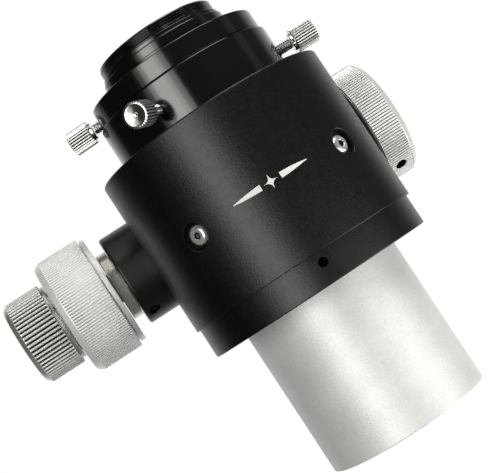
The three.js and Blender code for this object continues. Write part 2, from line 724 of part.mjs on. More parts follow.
const leftKnob = knob(LEFT_KNOB, COARSE_R, COARSE_RIM_R);
const rightKnob = knob(RIGHT_KNOB, COARSE_R, COARSE_RIM_R);
const fineKnob = knob(FINE_KNOB, FINE_R, FINE_RIM_R);
add('left_coarse_knob', 'satin_silver', leftKnob.subtract(spokeHole(SET_SCREWS.left_knob_set_screw)));
add('right_coarse_knob', 'satin_silver', rightKnob.subtract(spokeHole(SET_SCREWS.right_knob_set_screw)));
add('fine_knob', 'nickel', fineKnob.subtract(spokeHole(SET_SCREWS.fine_knob_set_screw)));
for (const name of Object.keys(SET_SCREWS)) {
  add(name, 'dark_steel', setScrew(name));
}

export default group;
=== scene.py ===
import json
import math

import bpy
import numpy as np
from mathutils import Matrix, Vector


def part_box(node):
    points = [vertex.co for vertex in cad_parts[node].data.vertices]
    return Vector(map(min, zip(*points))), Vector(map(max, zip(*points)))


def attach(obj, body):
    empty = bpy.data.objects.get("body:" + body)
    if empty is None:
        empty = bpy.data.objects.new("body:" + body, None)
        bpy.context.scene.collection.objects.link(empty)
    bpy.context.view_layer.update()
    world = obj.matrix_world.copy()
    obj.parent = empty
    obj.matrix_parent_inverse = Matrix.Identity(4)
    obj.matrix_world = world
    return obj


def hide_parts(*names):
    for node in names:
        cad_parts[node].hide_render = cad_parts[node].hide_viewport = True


# Looks of a dual-speed Crayford focuser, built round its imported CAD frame.
# Lengths are in millimetres until a mesh is made, and +Z is the optical axis, pointing to the eyepiece.
# Each turned piece is made about its own Z axis and is then placed, so that its finish can follow it.
# An azimuth is an angle about the optical axis from the front (-Y) towards +X.

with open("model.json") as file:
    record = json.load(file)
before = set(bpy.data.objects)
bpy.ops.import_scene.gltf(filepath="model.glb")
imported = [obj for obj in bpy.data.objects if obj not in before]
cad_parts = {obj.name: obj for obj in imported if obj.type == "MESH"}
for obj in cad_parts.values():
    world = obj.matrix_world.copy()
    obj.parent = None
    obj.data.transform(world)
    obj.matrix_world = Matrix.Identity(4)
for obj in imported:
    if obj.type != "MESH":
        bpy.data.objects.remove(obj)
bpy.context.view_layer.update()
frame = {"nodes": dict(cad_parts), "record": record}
MM = 0.001
X, Y, Z = 0, 1, 2
TURN = 2 * math.pi


def reach(node, axis):
    """How far a CAD node reaches along an axis, as (lowest, highest)."""
    low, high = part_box(node)
    return low[axis] / MM, high[axis] / MM


# ---------- driving dimensions ----------

# Steps round a turned piece, and points along an eased edge and over a domed screw head
WIDE = 240
MIDDLE = 96
SMALL = 48
EASE_POINTS = 5
DOME_POINTS = 9
# Clearance between neighbouring pieces, and where the tools for most holes in the housing start and end
GAP = 0.2
HOLE_FROM = 30
HOLE_TO = 50

# Housing
BODY_R = reach("focuser_body", X)[1]
BODY_TOP = reach("focuser_body", Z)[1]
CAVITY_R = 36
LIP_R = 28.3
LIP_THICK = 6
RING_R = reach("tube_spigot_ring", X)[1]
RING_BOTTOM, RING_TOP = reach("tube_spigot_ring", Z)
RING_BORE_R = 28.4
RING_SOCKET_R = 39.35
RING_SOCKET_TOP = 5
RING_HOLE_R = 1.6
RING_HOLE_Z = -3.35
RING_HOLE_FLOOR_R = 33
THREE_WAY = (0, 120, 240)

# Drive shaft and its housing
SHAFT_Y = sum(reach("drive_shaft", Y)) / 2
SHAFT_Z = sum(reach("drive_shaft", Z)) / 2
DRIVE_LEFT, DRIVE_RIGHT = reach("drive_housing", X)
DRIVE_R = 16.58
SADDLE_R = BODY_R + 0.3
SHAFT_BORE_R = 6.2
BODY_SHAFT_BORE_R = 6
DRIVE_LIP_R = 4
DRIVE_LIP_FROM = 42.6
REDUCER_BORE_R = 11.2
REDUCER_BORE_TO = -37.7
SADDLE_SCREW = {
    "x": 16,
    "dz": 9.5,
    "head_r": 2.75,
    "well_r": 3.05,
    "seat": 40.2,
    "thick": 3,
    "shank_r": 1.4,
    "tip": 33.2,
    "socket_r": 1.3,
    "hole_from": 26,
}
TENSION_SCREW = {"r": 1.9, "hole_r": 2.1, "tip": 35.5, "end": 44.6}

# Case of the reducer
CASE_OUTER_X = reach("reducer_case", X)[0]
CASE_FLANGE_R = 12.53
CASE_SPIGOT_R = 11
CASE_SHOULDER_X = -50.8
CASE_INNER_X = reach("reducer_case", X)[1]
CASE_WALL_X = -51.75
CASE_MOUTH_R = 5.9
RACE_R = 9.1

# Button-head screws in their wells
ROLLER_AZIMUTHS = {"left": -41.2, "right": 41.2}
ROLLER_LEVEL = 23.55
BUTTON_HEAD_R = 3.2
BUTTON_THICK = 1.65
BUTTON_TOP = BODY_R - 0.9
BUTTON_SHANK_R = 1.4
BUTTON_TIP = 29.8
BUTTON_RIM = 0.3
BUTTON_FLAT_R = 1.7
WELL_R = 4.45
SOCKET_R = 1.15
SMALL_PITCH = 0.5

# Drawtube
TUBE_R = reach("drawtube", X)[1]
TUBE_BOTTOM, TUBE_TOP = reach("drawtube", Z)
TUBE_BORE_R = 25.4
FLAT_Y = SHAFT_Y - 3.05
FLAT_FROM, FLAT_TO = -50, 50
FLAT_HALF_WIDE = 15
STOP_Z = sum(reach("travel_stop_screw", Z)) / 2
STOP_SCREW = {
    "hole_r": 1.05,
    "shank_r": 0.95,
    "head_r": 2.2,
    "flat_r": 1.2,
    "rim": 0.2,
    "thick": 1.5,
    "socket_r": 0.9,
    "socket_from": 0.6,
}
BAFFLE_PITCH = 0.8
BAFFLE_DEEP = 0.22

# Eyepiece holder
HOLDER_R = reach("eyepiece_holder", X)[1]
HOLDER_BOTTOM, HOLDER_TOP = reach("eyepiece_holder", Z)
HOLDER_BORE_R = 25.45
HOLDER_SOCKET = {"r": 27.95, "top": 58.7}
HOLDER_GROOVE = {"r": 27.1, "from": 59.5, "to": 64.4}
TWO_INCH_RING = {"inner": 25.65, "outer": 26.9, "from": 59.75, "to": 64.15}

# Reducing adapter
ADAPTER_R = 30
ADAPTER_BOTTOM = 70.1
ADAPTER_FLANGE_TOP = 76.75
BARREL_R = 25.3
BARREL_BOTTOM, ADAPTER_TOP = reach("reducing_adapter", Z)
STEP_R = 22.4
STEP_TOP = 81.65
STEP_GROOVE = {"r": 21.8, "from": 78.2, "to": 79.0}
NECK_R = 21.7
NECK_FROM, NECK_TO = 81.9, 83.0
THREAD_R = 21
THREAD_ROOT_R = 20.6
THREAD_FROM = 83.45
CAMERA_THREAD_PITCH = 0.75
SMALL_BORE_R = 15.925
ADAPTER_GROOVE = {"r": 17.4, "from": 70.9, "to": 76}
SMALL_RING = {"inner": 16.05, "outer": 17.2, "from": 71.15, "to": 75.75}
RING_SPLIT = 1.5

# Thumb screws
THUMB_R = 4.05
THUMB_LONG = 8.8
THUMB_COLLAR_R = 3
THUMB_COLLAR_LONG = 1
THUMB_KNURLS = 26
THUMB_KNURL_DEEP = 0.6
STUD_R = 1.85
STUD_HOLE_R = 2.05
STUD_PITCH = 0.7
STUD_STEP = STUD_PITCH / 8
STUD_THREAD_DEEP = 0.36
HOLDER_SCREW_Z = 61.95
THUMB_SCREWS = {
    "holder_screw_front": {"azimuth": -29, "z": HOLDER_SCREW_Z, "start": HOLDER_R + 6.6, "long": 9.35},
    "holder_screw_right": {"azimuth": 91, "z": HOLDER_SCREW_Z, "start": HOLDER_R + 5.5, "long": 9.35},
    "holder_screw_back": {"azimuth": 211, "z": HOLDER_SCREW_Z, "start": HOLDER_R + 5.5, "long": 9.35},
    "adapter_screw": {"azimuth": -103, "z": 73.45, "start": ADAPTER_R + 3, "long": 15.4},
    "lock_screw": {"azimuth": 180, "z": 45, "start": BODY_R + 3.4, "long": 14.6},
}

# Knobs
COARSE_R = reach("left_coarse_knob", Z)[1] - SHAFT_Z
COARSE_RIBS = 130
COARSE_RIB_DEEP = 0.45
FINE_R = reach("fine_knob", Z)[1] - SHAFT_Z
FINE_RIBS = 63
FINE_RIB_DEEP = 0.9
LEFT_KNOB_END, LEFT_KNOB_START = reach("left_coarse_knob", X)
RIGHT_KNOB_START, RIGHT_KNOB_END = reach("right_coarse_knob", X)
FINE_KNOB_END, FINE_KNOB_START = reach("fine_knob", X)
LEFT_BORE_R = 5.75
RIGHT_BORE_R = 3.25
RIGHT_BORE_TO = 53
FINE_BORE_R = 2.25
FINE_BORE_TO = -88

# Set screws: where each crosses the shaft, its direction from the shaft, and its reach
GRUB = {"r": 1.85, "hole_r": 2}
SMALL_GRUB = {"r": 1.45, "hole_r": 1.6}
SET_SCREWS = {
    "reducer_set_screw": {"x": -47.05, "dy": -9.16, "dz": -13.82, "from": 11.25, "to": 15.3, **GRUB},
    "right_knob_set_screw": {"x": 49.2, "dy": -10.2, "dz": -18.35, "from": 3.25, "to": 11, **GRUB},
    "left_knob_set_screw": {"x": -63.9, "dy": 10.2, "dz": 18.35, "from": 5.75, "to": 12.5, **GRUB},
    "fine_knob_set_screw": {"x": -82, "dy": 7.5, "dz": 13, "from": 2.25, "to": 8.5, **SMALL_GRUB},
}
# How deep their sockets are, and how wide next to the screw
SET_SOCKET_DEEP = 1.6
SET_SOCKET_PART = 0.62

# Printed index mark on the housing
MARK_Z = 24.5
MARK_HALF_WIDE = 13
MARK_STAR_R = 2.4
MARK_INNER = 3.4
MARK_BAR_HALF_HIGH = 0.95
MARK_RADII = (BODY_R - 0.02, BODY_R + 0.03)

# ---------- placing ----------


def upright(z=0):
    return Matrix.Translation((0, 0, z * MM))


def on_shaft(x=0, side=1):
    """On the drive shaft's axis, with the piece's Z pointing right (side 1) or left (side -1)."""
    turn = Matrix.Rotation(side * math.pi / 2, 4, "Y")
    return Matrix.Translation((x * MM, SHAFT_Y * MM, SHAFT_Z * MM)) @ turn


def radial(azimuth, z, start=0, x=0):
    """On a radius of the optical axis, pointing outwards."""
    turn = Matrix.Rotation(math.radians(azimuth - 90), 4, "Z") @ Matrix.Rotation(math.pi / 2, 4, "Y")
    return Matrix.Translation((x * MM, 0, z * MM)) @ turn @ upright(start)


def spoke(screw):
    """On a radius of the drive shaft, pointing outwards."""
    turn = Matrix.Rotation(math.atan2(-screw["dy"], screw["dz"]), 4, "X")
    return Matrix.Translation((screw["x"] * MM, SHAFT_Y * MM, SHAFT_Z * MM)) @ turn


# ---------- shaping ----------


def eased(corners):
    """Profile points (radius, height) from corners (radius, height, ease), where ease is how far back
    the edge starts to round over."""
    points = []
    for i, (r, h, ease) in enumerate(corners):
        if not ease:
            points.append((r, h))
            continue
        here = np.array((r, h))
        before = np.array(corners[i - 1][:2])
        after = np.array(corners[(i + 1) % len(corners)][:2])
        start = here + (before - here) * ease / np.linalg.norm(before - here)
        end = here + (after - here) * ease / np.linalg.norm(after - here)
        for t in np.linspace(0, 1, EASE_POINTS):
            points.append(tuple((1 - t) ** 2 * start + 2 * t * (1 - t) * here + t**2 * end))
    return points


def ring(corners):
    """A closed profile."""
    points = eased(corners)
    return [*points, points[0]]


def rod(r, low, high, ease=0.0):
    """The profile of a round bar."""
    return eased([(0, low, 0), (r, low, ease), (r, high, ease), (0, high, 0)])


def in_steps(r, low, high, step):
    """A straight wall with a point at each step, for a thread to be cut in."""
    count = max(2, round((high - low) / step) + 1)
    return [(r, h) for h in np.linspace(low, high, count)]


def thread(r, pitch, deep, low, high):
    """Largest radius left by a right-handed thread that runs out over a turn at each end."""

    def limit(height, angle):
        tooth = np.abs(2 * ((height / pitch - angle / TURN) % 1) - 1)
        groove = np.clip(1.15 * tooth - 0.1, 0, 1)
        fade = np.clip((height - low) / pitch, 0, 1) * np.clip((high - height) / pitch, 0, 1)
        return r - deep * groove * fade

    return limit


def ribs(count, r, deep, low, high):
    """Largest radius left by straight ribs with rounded crests, from one height to another."""
    run_out = 0.25

    def limit(height, angle):
        inside = np.clip((height - low) / run_out, 0, 1) * np.clip((high - height) / run_out, 0, 1)
        return r - deep * (1 - np.abs(np.cos(count * angle / 2))) * inside

    return limit


def split(height_at, below=None, above=None):
    """Uses one limit below a height and another above it. A missing one limits nothing."""

    def limit(height, angle):
        lower = below(height, angle) if below else np.inf
        upper = above(height, angle) if above else np.inf
        return np.where(height < height_at, lower, upper)

    return limit


def turned(name, rows, steps=WIDE, place=None, limit=None):
    """A piece swept round its Z axis from (radius, height) rows. Rows that end where they began make a
    ring, and limit(height, angle) gives the largest radius where ribs or a thread are cut."""
    is_ring = tuple(rows[0]) == tuple(rows[-1])
    rows = list(rows[:-1]) if is_ring else list(rows)
    turns = zip(rows, rows[1:] + rows[:1])
    if sum(a[0] * b[1] - b[0] * a[1] for a, b in turns) < 0:
        rows.reverse()
    r, h = np.array(rows, float).T[:, :, None]
    angle = (np.arange(steps) * TURN / steps)[None, :]
    r = np.minimum(r, limit(h, angle)) if limit else r + 0 * angle
    points = np.stack([r * np.cos(angle), r * np.sin(angle), h + 0 * angle], -1).reshape(-1, 3) * MM
    ids = np.arange(len(points)).reshape(len(rows), steps)
    for i, row in enumerate(rows):
        if row[0] == 0:
            ids[i] = ids[i, 0]
    near, far = (ids, np.roll(ids, -1, 0)) if is_ring else (ids[:-1], ids[1:])
    quads = np.stack([near, np.roll(near, -1, 1), np.roll(far, -1, 1), far], -1).reshape(-1, 4)
    return solid(name, points, [list(dict.fromkeys(q)) for q in quads.tolist()], place)


def add_object(name, data, place=None):
    """A new object in the scene."""
    made = bpy.data.objects.new(name, data)
    made.matrix_world = place or Matrix.Identity(4)
    bpy.context.scene.collection.objects.link(made)
    return made


def solid(name, points, faces, place=None):
    """An object made from points and faces, without the points that no face uses."""
    faces = [face for face in faces if len(face) > 2]
    used = sorted({i for face in faces for i in face})
    order = {old: new for new, old in enumerate(used)}
    mesh = bpy.data.meshes.new(name)
    mesh.from_pydata([tuple(points[i]) for i in used], [], [[order[i] for i in face] for face in faces])
    return add_object(name, mesh, place)


def block(name, low, high):
    """A box between two corners, for cutting."""
    xs, ys, zs = [(low[axis] * MM, high[axis] * MM) for axis in (X, Y, Z)]
    corners = [(x, y, z) for x in xs for y in ys for z in zs]
    faces = [[0, 1, 3, 2], [4, 6, 7, 5], [0, 4, 5, 1], [2, 3, 7, 6], [0, 2, 6, 4], [1, 5, 7, 3]]
    return solid(name, corners, faces)


def cut(piece, *tools):
    """Takes the tools away from a piece."""
    for tool in tools:
        modifier = piece.modifiers.new("cut", "BOOLEAN")
        modifier.solver = "MANIFOLD"
        modifier.object = tool
    made = bpy.data.meshes.new_from_object(piece.evaluated_get(bpy.context.evaluated_depsgraph_get()))
    piece.modifiers.clear()
    piece.data = made
    for tool in tools:
        bpy.data.objects.remove(tool)
    return piece


def hole(r, low, high, place, mouth=None, limit=None):
    """A tool for a round hole. mouth is (height, width) of a chamfer where the hole opens."""
    if not mouth:
        return turned("tool", rod(r, low, high), SMALL, place, limit)
    height, width = mouth
    rows = [(0, low), (r, low), (r, height - width), (r + width + high - height, high), (0, high)]
    return turned("tool", rows, SMALL, place, limit)


def hexagon(r, low, high, place):
    """A tool for a hexagon socket with a drilled bottom."""
    drill_r, drill_tip = 0.9 * r, low - 0.45 * r
    rows = [(0, drill_tip), (drill_r, low), (r, low), (r, high), (0, high)]
    return turned("tool", rows, 6, place)


def smooth(piece):
    """Shades what is turned about the piece's Z axis as truly round, eases small steps and keeps edges
    crisp. Each corner's normal is blended with those of its point that lie within the crease angle."""
    crease = math.cos(math.radians(32))
    off_round = 0.03
    mesh = piece.data
    counts = {"v": len(mesh.vertices), "f": len(mesh.polygons), "l": len(mesh.loops)}
    at, centre, normal = np.empty(counts["v"] * 3), np.empty(counts["f"] * 3), np.empty(counts["f"] * 3)
    area, sides = np.empty(counts["f"]), np.empty(counts["f"], int)
    vertex = np.empty(counts["l"], int)
    mesh.vertices.foreach_get("co", at)
    mesh.polygons.foreach_get("center", centre)
    mesh.polygons.foreach_get("normal", normal)
    mesh.polygons.foreach_get("area", area)
    mesh.polygons.foreach_get("loop_total", sides)
    mesh.loops.foreach_get("vertex_index", vertex)
    at, centre, normal = at.reshape(-1, 3), centre.reshape(-1, 3), normal.reshape(-1, 3)

    def outwards(points, instead=None):
        flat = points * (1, 1, 0)
        long = np.linalg.norm(flat, axis=1, keepdims=True)
        return np.where(long > 1e-7, flat / np.maximum(long, 1e-7), 0 if instead is None else instead)

    face_out = outwards(centre)
    out_part = np.sum(normal * face_out, 1)
    side_part = normal[:, 1] * face_out[:, 0] - normal[:, 0] * face_out[:, 1]
    face = np.repeat(np.arange(counts["f"]), sides)
    corner_out = outwards(at[vertex], face_out[face])
    around = out_part[face, None] * corner_out + normal[face] * (0, 0, 1)
    corner = np.where(np.abs(side_part[face, None]) < off_round, around, normal[face])
    corner /= np.maximum(np.linalg.norm(corner, axis=1, keepdims=True), 1e-9)

    total = corner * area[face, None]
    order = np.argsort(vertex, kind="stable")
    first = np.arange(len(order))
    step = 1
    while True:
        first = first[first + step < len(order)]
        a, b = order[first], order[first + step]
        same = vertex[a] == vertex[b]
        first, a, b = first[same], a[same], b[same]
        if not len(first):
            break
        near = np.sum(corner[a] * corner[b], 1) > crease
        a, b = a[near], b[near]
        total[a] += corner[b] * area[face[b], None]
        total[b] += corner[a] * area[face[a], None]
        step += 1
    total /= np.maximum(np.linalg.norm(total, axis=1, keepdims=True), 1e-20)
    mesh.shade_smooth()
    mesh.normals_split_custom_set(total.tolist())


# ---------- finishes ----------


def add_node(tree, kind, inputs=None, **settings):
    """A new shader node. Each input is a number or vector to set, or an output to link."""
    made = tree.nodes.new(f"ShaderNode{kind}")
    for key, value in settings.items():
        setattr(made, key, value)
    for key, value in (inputs or {}).items():
        if isinstance(value, bpy.types.NodeSocket):
            tree.links.new(value, made.inputs[key])
        else:
            made.inputs[key].default_value = value
    return made


def noise(tree, place, size, detail=2.0):
    """Noise whose features are about size millimetres."""
    return add_node(
        tree, "TexNoise", {"Vector": place, "Scale": 1 / (size * MM), "Detail": detail}
    ).outputs["Fac"]


def mapped(tree, value, low, high, from_low=0.3, from_high=0.7):
    """Takes a value from one range to another and holds it there. Noise is mostly from 0.3 to 0.7."""
    return add_node(
        tree,
        "MapRange",
        {"Value": value, "From Min": from_low, "From Max": from_high, "To Min": low, "To Max": high},
    ).outputs["Result"]


def from_axis(tree, place):
    """Distance from the piece's Z axis."""
    flat = add_node(tree, "VectorMath", {0: place, 1: (1, 1, 0)}, operation="MULTIPLY")
    length = add_node(tree, "VectorMath", {0: flat.outputs["Vector"]}, operation="LENGTH")
    return length.outputs["Value"]


def turning_lines(tree, place, pitch):
    """Noise that varies only along a turned piece's axis and out from it, as a cutting tool's marks do."""
    parts = add_node(tree, "SeparateXYZ", {0: place})
    terms = {0: parts.outputs["Z"], 1: from_axis(tree, place)}
    along = add_node(tree, "Math", terms, operation="ADD")
    return add_node(
        tree,
        "TexNoise",
        {"W": along.outputs["Value"], "Scale": 1 / (pitch * MM), "Detail": 3.0},
        noise_dimensions="1D",
    ).outputs["Fac"]


def times(tree, first, second):
    """The product of two values."""
    return add_node(tree, "Math", {0: first, 1: second}, operation="MULTIPLY").outputs["Value"]


# Sizes in millimetres of the soft patches in a finish's shade, gloss and wear, and how wide worn edges are
SHADE_PATCH = 9.0
GLOSS_PATCH = 1.6
WEAR_PATCH = 2.5
WEAR_WIDE = 0.18


def worn_edges(tree, place, tint, colour, strength):
    """Mixes a bare colour into the tint where an outer edge is rubbed."""
    geometry = add_node(tree, "NewGeometry")
    eased_normal = add_node(tree, "Bevel", {"Radius": WEAR_WIDE * MM}, samples=4)
    lean = add_node(
        tree,
        "VectorMath",
        {0: geometry.outputs["Normal"], 1: eased_normal.outputs["Normal"]},
        operation="DOT_PRODUCT",
    ).outputs["Value"]
    edge = mapped(tree, lean, strength, 0.0, 0.90, 0.99)
    convex = mapped(tree, geometry.outputs["Pointiness"], 0.0, 1.0, 0.502, 0.53)
    worn = times(tree, times(tree, edge, convex), noise(tree, place, WEAR_PATCH, 3.0))
    mixed = add_node(tree, "Mix", data_type="RGBA")
    tree.links.new(worn, mixed.inputs["Factor"])
    tree.links.new(tint, mixed.inputs[6])
    mixed.inputs[7].default_value = (*colour, 1)
    return mixed.outputs[2]


def finish(
    name,
    colour,
    metallic,
    roughness,
    specular=0.5,
    vary=0.06,
    rub=0.12,
    grain=None,
    lines=None,
    wear=None,
    painted_groove_shade=None,
):
    """A metal or plastic finish. vary and rub are how far its shade and its gloss wander. grain is (size,
    height) of its fine surface, lines (pitch, height) of turning marks, wear (colour, strength) of what
    shows along worn edges, and painted_groove_shade (floor radius, top radius, shade) is painted shade that
    darkens the floors between ribs."""
    material = bpy.data.materials.new(name)
    material.use_nodes = True
    tree = material.node_tree
    shader = tree.nodes["Principled BSDF"]
    place = add_node(tree, "TexCoord").outputs["Object"]

    shade = mapped(tree, noise(tree, place, SHADE_PATCH, 4.0), 1 - vary, 1 + vary)
    patches = noise(tree, place, GLOSS_PATCH, 3.0)
    rough = mapped(tree, patches, roughness * (1 - rub), roughness * (1 + rub))
    bump = None
    if lines:
        marks = turning_lines(tree, place, lines[0])
        rough = times(tree, rough, mapped(tree, marks, 0.85, 1.15))
        relief = {"Height": marks, "Strength": 1.0, "Distance": lines[1] * MM}
        bump = add_node(tree, "Bump", relief)
    if grain:
        fine = noise(tree, place, grain[0], 2.0)
        shade = times(tree, shade, mapped(tree, fine, 1 - 1.5 * vary, 1 + 1.5 * vary))
        relief = {"Height": fine, "Strength": 1.0, "Distance": grain[1] * MM}
        if bump:
            relief["Normal"] = bump.outputs["Normal"]
        bump = add_node(tree, "Bump", relief)
    # Painted shade: the tint darkens towards the floors between ribs, where shade falls in the grooves
    if painted_groove_shade:
        floor_r, top_r, dark = painted_groove_shade
        rise = mapped(tree, from_axis(tree, place), dark, 1.0, floor_r * MM, top_r * MM)
        shade = times(tree, shade, rise)
    scaled = add_node(tree, "VectorMath", {0: colour, "Scale": shade}, operation="SCALE")
    tint = scaled.outputs["Vector"]
    if wear:
        tint = worn_edges(tree, place, tint, *wear)
    tree.links.new(tint, shader.inputs["Base Color"])
    tree.links.new(rough, shader.inputs["Roughness"])
    if bump:
        tree.links.new(bump.outputs["Normal"], shader.inputs["Normal"])
    shader.inputs["Metallic"].default_value = metallic
    shader.inputs["Specular IOR Level"].default_value = specular
    return material


BARE = (0.42, 0.42, 0.43)
# The finish of each material slot
FINISHES = {
    "satin_black": finish(
        "satin_black", (0.0014, 0.0014, 0.0014), 0, 0.35,
        vary=0.08, rub=0.08, grain=(0.45, 0.05), wear=(BARE, 0.12),
    ),
    "gloss_black": finish(
        "gloss_black", (0.0015, 0.0015, 0.0017), 0, 0.13,
        specular=1.0, grain=(0.2, 0.0006), lines=(0.3, 0.0005), wear=(BARE, 0.2),
    ),
    "blasted_silver": finish(
        "blasted_silver", (0.81, 0.81, 0.81), 0.3, 0.46,
        vary=0.04, rub=0.04, grain=(0.6, 0.08),
    ),
    "satin_silver": finish("satin_silver", (0.90, 0.90, 0.895), 0.4, 0.34, vary=0.03, grain=(0.12, 0.001)),
    "nickel": finish("nickel", (0.74, 0.735, 0.72), 0.8, 0.22, vary=0.04, lines=(0.14, 0.0006)),
    "polished_steel": finish(
        "polished_steel", (0.70, 0.69, 0.68), 1.0, 0.13,
        vary=0.03, lines=(0.12, 0.0008),
    ),
    "stainless": finish(
        "stainless", (0.60, 0.60, 0.60), 1.0, 0.25,
        vary=0.05, grain=(0.1, 0.001), lines=(0.1, 0.0015),
    ),
    "dark_steel": finish(
        "dark_steel", (0.03, 0.03, 0.032), 0.6, 0.38,
        vary=0.12, grain=(0.12, 0.003), wear=(BARE, 0.3),
    ),
    "brass": finish("brass", (0.62, 0.44, 0.17), 1.0, 0.3, lines=(0.15, 0.003)),
    "white_nylon": finish("white_nylon", (0.72, 0.71, 0.68), 0, 0.55, vary=0.04, grain=(0.3, 0.006)),
}
# Coats of parts of a piece, and of pieces that differ from the rest of their slot
# Matt black lines bores, and also serves as painted shade on the walls of the knobs' set-screw holes
MATT_BLACK = finish("matt_black", (0.006, 0.006, 0.0065), 0, 0.72, 0.2, vary=0.15, grain=(0.2, 0.01))
WHITE_PRINT = finish("white_print", (0.80, 0.80, 0.79), 0, 0.45, vary=0.04, grain=(0.12, 0.004))
COLLAR_STEEL = finish("collar_steel", (0.78, 0.75, 0.69), 0.78, 0.20, vary=0.05, lines=(0.14, 0.0003))
SCREW_STEEL = finish("screw_steel", (0.90, 0.89, 0.87), 0.72, 0.18, vary=0.03, lines=(0.12, 0.0003))
# Painted shade darkens the floors between the coarse ribs
COARSE_BAND = finish(
    "coarse_ribs", (0.97, 0.97, 0.965), 0.3, 0.34,
    vary=0.03, grain=(0.12, 0.001),
    painted_groove_shade=(COARSE_R - 0.85 * COARSE_RIB_DEEP, COARSE_R - 0.3 * COARSE_RIB_DEEP, 0.18),
)
# Painted shade darkens the floors between the fine ribs
FINE_BAND = finish(
    "fine_ribs", (0.94, 0.935, 0.925), 0.55, 0.26,
    vary=0.04, lines=(0.14, 0.0006),
    painted_groove_shade=(FINE_R - 0.6 * FINE_RIB_DEEP, FINE_R - 0.12 * FINE_RIB_DEEP, 0.05),
)
# Painted shade darkens the floors between the thumb screws' knurls
THUMB_BAND = finish(
    "thumb_knurls", (0.80, 0.79, 0.78), 0.8, 0.2,
    vary=0.04, lines=(0.12, 0.0008),
    painted_groove_shade=(THUMB_R - 0.7 * THUMB_KNURL_DEEP, THUMB_R - 0.15 * THUMB_KNURL_DEEP, 0.06),
)


def paint(piece, coat, belongs):
    """Gives a coat to the faces that belong, going by how far out, how high and how outward they are."""
    piece.data.materials.append(coat)
    for face in piece.data.polygons:
        out = Vector((face.center.x, face.center.y, 0))
        if belongs(out.length / MM, face.center.z / MM, face.normal.dot(out)):
            face.material_index = len(piece.data.materials) - 1


def show(piece, body, slot, *nodes, coat=None, lining_r=0, band=None):
    """Finishes a piece, lets it ride on a body and stand for CAD nodes. Faces within lining_r of its axis
    and facing it are matt black. band is (coat, inner radius, from, to) of a band with its own coat."""
    smooth(piece)
    piece.data.materials.clear()
    piece.data.materials.append(coat or FINISHES[slot])
    if lining_r:
        paint(piece, MATT_BLACK, lambda r, height, facing: r < lining_r and facing < 0)
    if band:
        ribbed, inner_r, low, high = band
        paint(piece, ribbed, lambda r, height, facing: r > inner_r and low < height < high)
    if nodes:
        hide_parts(*nodes)
    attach(piece, body)


# ---------- housing ----------


def saddle_places():
    """Where the four saddle screws are, as (x, z)."""
    x, dz = SADDLE_SCREW["x"], SADDLE_SCREW["dz"]
    return [(-x, SHAFT_Z - dz), (x, SHAFT_Z - dz), (-x, SHAFT_Z + dz), (x, SHAFT_Z + dz)]


def make_body():
    shell = turned("focuser_shell", ring([
        (RING_SOCKET_R, 0, 0.1),
        (BODY_R, 0, 0.25),
        (BODY_R, BODY_TOP, 0.7),
        (LIP_R, BODY_TOP, 0.5),
        (LIP_R, BODY_TOP - LIP_THICK, 0.4),
        (CAVITY_R, BODY_TOP - LIP_THICK, 0),
        (CAVITY_R, RING_SOCKET_TOP, 0),
        (RING_SOCKET_R, RING_SOCKET_TOP, 0),
    ]))
    outside = BODY_R + 2
    tools = [
        turned("tool", rod(BODY_SHAFT_BORE_R, -outside, outside), MIDDLE, on_shaft()),
        hole(TENSION_SCREW["hole_r"], HOLE_FROM, outside, radial(180, SHAFT_Z)),
        hole(STUD_HOLE_R, HOLE_FROM, outside, radial(180, THUMB_SCREWS["lock_screw"]["z"]), (BODY_R, 0.3)),
    ]
    for azimuth in ROLLER_AZIMUTHS.values():
        place = radial(azimuth, ROLLER_LEVEL)
        floor = BUTTON_TOP - BUTTON_THICK - GAP
        top = BODY_R + 1.8
        rows = [(0, floor), (WELL_R, floor), (WELL_R, BODY_R - 0.2), (WELL_R + 2, top), (0, top)]
        tools.append(turned("tool", rows, MIDDLE, place))
        tools.append(hole(BUTTON_SHANK_R + GAP, HOLE_FROM, BODY_R, place))
    screw = SADDLE_SCREW
    for x, z in saddle_places():
        tools.append(hole(screw["shank_r"] + GAP, screw["hole_from"], outside, radial(180, z, x=x)))
    show(cut(shell, *tools), "housing", "satin_black", "focuser_body")


def make_spigot_ring():
    piece = turned("spigot_ring", ring([
        (RING_BORE_R, RING_BOTTOM, 0.4),
        (RING_R, RING_BOTTOM, 0.45),
        (RING_R, RING_TOP, 0.08),
        (RING_BORE_R, RING_TOP, 0.2),
    ]))
    outside = RING_R + 1
    mouth_deep, mouth_r = 0.35, RING_HOLE_R + 1.35
    thread_r, drill_tip = RING_HOLE_R + 0.15, 0.9
    tools = []
    for azimuth in THREE_WAY:
        wall = in_steps(RING_HOLE_R, RING_HOLE_FLOOR_R, RING_R - mouth_deep, STUD_STEP)
        rows = [(0, RING_HOLE_FLOOR_R - drill_tip), *wall, (mouth_r, outside), (0, outside)]
        turns = thread(thread_r, STUD_PITCH, 0.25, RING_HOLE_FLOOR_R, outside + STUD_PITCH)
        tools.append(turned("tool", rows, SMALL, radial(azimuth, RING_HOLE_Z), turns))
    show(cut(piece, *tools), "housing", "satin_black", "tube_spigot_ring")


